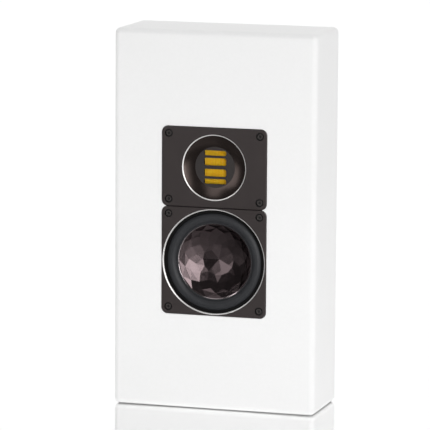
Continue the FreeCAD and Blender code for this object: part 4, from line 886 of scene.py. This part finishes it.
def rubber_bumpers():
    """Four rubber discs with rounded rims and a dimple in the middle."""
    low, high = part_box("wall_bumpers")
    height = (high.y - low.y) / MM
    top, bottom = DIMPLE_RADII
    shape = bmesh.new()
    spin_round(shape, [(0, 0), (BUMPER_RADIUS, 0), (BUMPER_RADIUS, height - BUMPER_CHAMFER),
                       (BUMPER_RADIUS - BUMPER_CHAMFER, height), (top, height),
                       (bottom, height - DIMPLE_DEPTH), (0, height - DIMPLE_DEPTH)], steps=48)
    soften(shape, BUMPER_ROUNDING, angle=25)
    repeat(shape, spots_on("wall_bumpers", BUMPER_RADIUS, low.y), (0, 0, 0, 0))
    make_piece(shape, "rubber_bumpers", "bumper_rubber", stands_for=["wall_bumpers"])


def polarity_marks():
    """A raised plus over the red terminal and a raised minus over the black one."""
    low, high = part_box("terminal_cup")
    floor_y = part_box("red_post_washer")[0].y - CUP_FLOOR_DEPTH * MM
    height = (low.z + high.z) / 2 + MARK_RISE * MM
    shape = bmesh.new()
    flat_cross(shape, MARK_STROKE, MARK_ARM)
    move(shape, shape.verts, (post_centre("red").x, floor_y, height))
    minus = square(shape, MARK_STROKE)
    bmesh.ops.scale(shape, verts=minus, vec=(1 + 2 * MARK_ARM / MARK_STROKE, 1, 1))
    move(shape, minus, (post_centre("black").x, floor_y, height))
    raised = bmesh.ops.extrude_face_region(shape, geom=shape.faces[:])["geom"]
    move(shape, raised, (0, MARK_RELIEF * MM, 0))
    face_out(shape)
    soften(shape, MARK_ROUNDING, angle=40, segments=2)
    make_piece(shape, "polarity_marks", "white_lacquer")


# Damping

PAD_MARGIN = Vector((4.0, 6.0, 6.0))
PAD_ROWS = 40
PAD_COLUMNS = 6
PAD_SMOOTHINGS = 6
LUMP_SCALE = 60.0
LUMP_HEIGHT = 1.2
# How fast the finer lumps fade, how much finer each set of them is, and how many sets there are
LUMP_NOISE = (0.8, 2.0, 3)
GLUED_DEPTH = 4.0


def edge_rise(edge):
    """How far one end of an edge lies above the other."""
    return abs(edge.verts[0].co.z - edge.verts[1].co.z)


def wool_pad(name, node, wall_side):
    """A pad of wool glued to a side wall: flat on the wall, crowned and lumpy elsewhere."""
    low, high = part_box(node)
    wall = high.x if wall_side > 0 else low.x
    shape = bmesh.new()
    bmesh.ops.create_cube(shape, size=1.0)
    bmesh.ops.scale(shape, verts=shape.verts, vec=high - low - PAD_MARGIN * MM)
    upright = [edge for edge in shape.edges if edge_rise(edge) > TOUCHING]
    bmesh.ops.subdivide_edges(shape, edges=upright, cuts=PAD_ROWS, use_grid_fill=True)
    level = [edge for edge in shape.edges if edge_rise(edge) < TOUCHING]
    bmesh.ops.subdivide_edges(shape, edges=level, cuts=PAD_COLUMNS, use_grid_fill=True)
    move(shape, shape.verts, (low + high) / 2)
    for _ in range(PAD_SMOOTHINGS):
        bmesh.ops.smooth_vert(shape, verts=shape.verts, factor=0.5, use_axis_x=True, use_axis_y=True,
                              use_axis_z=True)
    for vert in shape.verts:
        lump = noise.fractal(vert.co * LUMP_SCALE, *LUMP_NOISE)
        vert.co -= vert.normal * LUMP_HEIGHT * MM * (1 + lump)
    shape.normal_update()
    outermost = max(wall_side * vert.co.x for vert in shape.verts)
    move(shape, shape.verts, (wall - wall_side * outermost, 0, 0))
    for vert in shape.verts:
        if wall_side * (wall - vert.co.x) < GLUED_DEPTH * MM:
            vert.co.x = wall
    face_out(shape)
    piece = make_piece(shape, name, "wool", stands_for=[node], smooth=80)


# All the pieces

rubber_surround()
faceted_cone()
corrugated_spider()
pleated_foil()
felt_disc()
cap_screws("woofer_cap_screws", "woofer_screws", turns=(8, 35, 52, 21))
cap_screws("tweeter_cap_screws", "tweeter_screws", turns=(44, 12, 3, 57))
wood_screws("panel_wood_screws", "rear_panel_screws", "black_steel", length=25.0,
            turns=(10, 55, 33, 78, 20, 64, 5, 41), rows=4)
wood_screws("terminal_wood_screws", "terminal_cup_screws", "black_steel", length=8.0, turns=(25, 70, 48, 15))
wood_screws("hanger_wood_screws", "hanger_screws", "zinc_steel", length=9.0, turns=(60, 18, 37, 82))
rubber_bumpers()
polarity_marks()
wool_pad("left_wool_pad", "left_damping_pad", -1)
wool_pad("right_wool_pad", "right_damping_pad", 1)

# Floor, light and camera, in metres and degrees

FLOOR_HALF = 6.0
FLOOR_FRONT = -0.6
FLOOR_WHITE = 0.96
FLOOR_MIRROR = 0.9
# Painted shade and light on the floor as the object's gloss sees it: darker to the left, lighter to the right
FLOOR_GLOSS_PAINTED_SHADE = {"From_Min": -0.22, "From_Max": 0.16, "To_Min": 0.15, "To_Max": 0.84}
# How bright the room is in the object's gloss, by how far back a reflection points
ROOM_IN_GLOSS = {"From_Min": 0.3, "From_Max": 0.9, "To_Min": 0.1, "To_Max": 1.08}
AMBIENT = 0.71
SEEN_WHITE = 1.0
MIRRORED_WHITE = 1.06
LIT_HEIGHT = 0.2
# Azimuth, elevation, distance, width, height and radiance. The first are there for the gloss alone, and the
# fills for the plain light alone.
GLOSS_LIGHTS = {
    "right_softbox": (33, 9, 2.0, 1.1, 1.3, 6.0),
    "inner_softbox": (14, 2, 2.0, 0.4, 0.9, 1.1),
    "side_strip": (69, 22, 2.0, 0.6, 1.7, 6.8),
    "left_softbox": (-30, 1, 2.0, 0.7, 0.62, 2.4),
    "upper_left_softbox": (-16, 14, 2.0, 0.42, 0.7, 2.0),
    "far_left_softbox": (-84, 44, 2.0, 0.42, 0.9, 7.0),
    "ceiling_softbox": (-40, 74, 1.8, 1.0, 1.0, 1.5),
}
FILL_LIGHTS = {
    "front_fill": (40, 8, 2.0, 1.4, 1.4, 1.4),
    "table_fill": (0, -90, LIT_HEIGHT - MM, 1.6, 1.6, 0.46),
    "rear_fill": (180, 60, 2.0, 1.2, 1.2, 1.55),
}
PHOTO_SIDE = 430
CAMERA_AZIMUTH = 16.86
CAMERA_ELEVATION = 8.75
CAMERA_DISTANCE = 3.7123
CAMERA_FOCUS = 3525.15
CAMERA_ROLL = 0.34
CAMERA_SENSOR = 36.0
CAMERA_REACH = 50.0
CAMERA_TARGET = Vector((0.00118, CABINET_FRONT, 0.20964))


def floor():
    """A white gloss table that mirrors the object for the camera, ends in front of it, and in gloss carries
    painted shade.
    """
    shape = bmesh.new()
    bmesh.ops.create_grid(shape, x_segments=4, y_segments=4, size=FLOOR_HALF)
    move(shape, shape.verts, (0, FLOOR_HALF + FLOOR_FRONT, 0))
    mesh = bpy.data.meshes.new("studio_floor")
    shape.to_mesh(mesh)
    shape.free()
    piece = bpy.data.objects.new("studio_floor", mesh)
    bpy.context.scene.collection.objects.link(piece)
    material, tree, shader, vector = new_material("floor_finish")
    path = tree.nodes.new("ShaderNodeLightPath").outputs
    parts = add(tree, "ShaderNodeSeparateXYZ", vector)
    # Painted shade: the floor's colour for gloss runs from dark on the left to light on the right
    shade = add(tree, "ShaderNodeMapRange", Value=parts.outputs["X"], **FLOOR_GLOSS_PAINTED_SHADE)
    feed(tree, shader.inputs["Base Color"], mix(tree, path["Is Glossy Ray"], FLOOR_WHITE, shade.outputs[0]))
    feed(tree, shader.inputs["Metallic"], compute(tree, "MULTIPLY", path["Is Camera Ray"], FLOOR_MIRROR))
    shader.inputs["Roughness"].default_value = 0.0
    mesh.materials.append(material)


def studio():
    """White all round for the camera and the table's mirror; for gloss, white behind and dark in front."""
    world = bpy.data.worlds.new("studio")
    bpy.context.scene.world = world
    world.use_nodes = True
    tree = world.node_tree
    tree.nodes.clear()
    path = tree.nodes.new("ShaderNodeLightPath").outputs
    coordinates = tree.nodes.new("ShaderNodeTexCoord").outputs["Generated"]
    parts = add(tree, "ShaderNodeSeparateXYZ", coordinates)
    gloss = add(tree, "ShaderNodeMapRange", interpolation_type="SMOOTHSTEP", Value=parts.outputs["Y"],
                **ROOM_IN_GLOSS)
    seen = compute(tree, "MAXIMUM", path["Is Camera Ray"], path["Is Transmission Ray"])
    level = mix(tree, path["Is Glossy Ray"], AMBIENT, gloss.outputs[0])
    level = mix(tree, seen, level, SEEN_WHITE)
    level = mix(tree, path["Is Singular Ray"], level, MIRRORED_WHITE)
    background = add(tree, "ShaderNodeBackground", Color=(1, 1, 1, 1), Strength=level)
    add(tree, "ShaderNodeOutputWorld", Surface=background.outputs[0])


def direction(azimuth, elevation):
    """From the object towards a place round it: azimuth 0 is in front, positive to the right."""
    turn, tilt = math.radians(azimuth), math.radians(elevation)
    level = math.cos(tilt)
    return Vector((math.sin(turn) * level, -math.cos(turn) * level, math.sin(tilt)))


def softbox(name, azimuth, elevation, distance, width, height, radiance, shines):
    """A rectangular light that faces the middle of the object, its face as bright as radiance says.
    One that shines is there for the gloss alone, and one that doesn't for the plain light alone."""
    data = bpy.data.lights.new(name, "AREA")
    data.shape = "RECTANGLE"
    data.size = width
    data.size_y = height
    data.energy = radiance * math.pi * width * height
    lamp = bpy.data.objects.new(name, data)
    towards = direction(azimuth, elevation)
    lamp.location = Vector((0, 0, LIT_HEIGHT)) + towards * distance
    lamp.rotation_mode = "QUATERNION"
    lamp.rotation_quaternion = towards.to_track_quat("Z", "Y")
    lamp.visible_camera = False
    lamp.visible_glossy = shines
    lamp.visible_diffuse = not shines
    bpy.context.scene.collection.objects.link(lamp)


def camera():
    """Looks at the object as the photograph does. The focus is in pixels of its side, the sensor in mm."""
    data = bpy.data.cameras.new("camera")
    data.sensor_width = CAMERA_SENSOR
    data.lens = CAMERA_FOCUS / PHOTO_SIDE * CAMERA_SENSOR
    data.clip_end = CAMERA_REACH
    eye = bpy.data.objects.new("camera", data)
    back = direction(CAMERA_AZIMUTH, CAMERA_ELEVATION)
    eye.location = CAMERA_TARGET + back * CAMERA_DISTANCE
    eye.rotation_mode = "QUATERNION"
    roll = Matrix.Rotation(math.radians(CAMERA_ROLL), 3, "Z").to_quaternion()
    eye.rotation_quaternion = (-back).to_track_quat("-Z", "Y") @ roll
    bpy.context.scene.collection.objects.link(eye)
    bpy.context.scene.camera = eye


floor()
studio()
for name, settings in GLOSS_LIGHTS.items():
    softbox(name, *settings, shines=True)
for name, settings in FILL_LIGHTS.items():
    softbox(name, *settings, shines=False)
camera()
bpy.context.scene.view_settings.view_transform = "Standard"
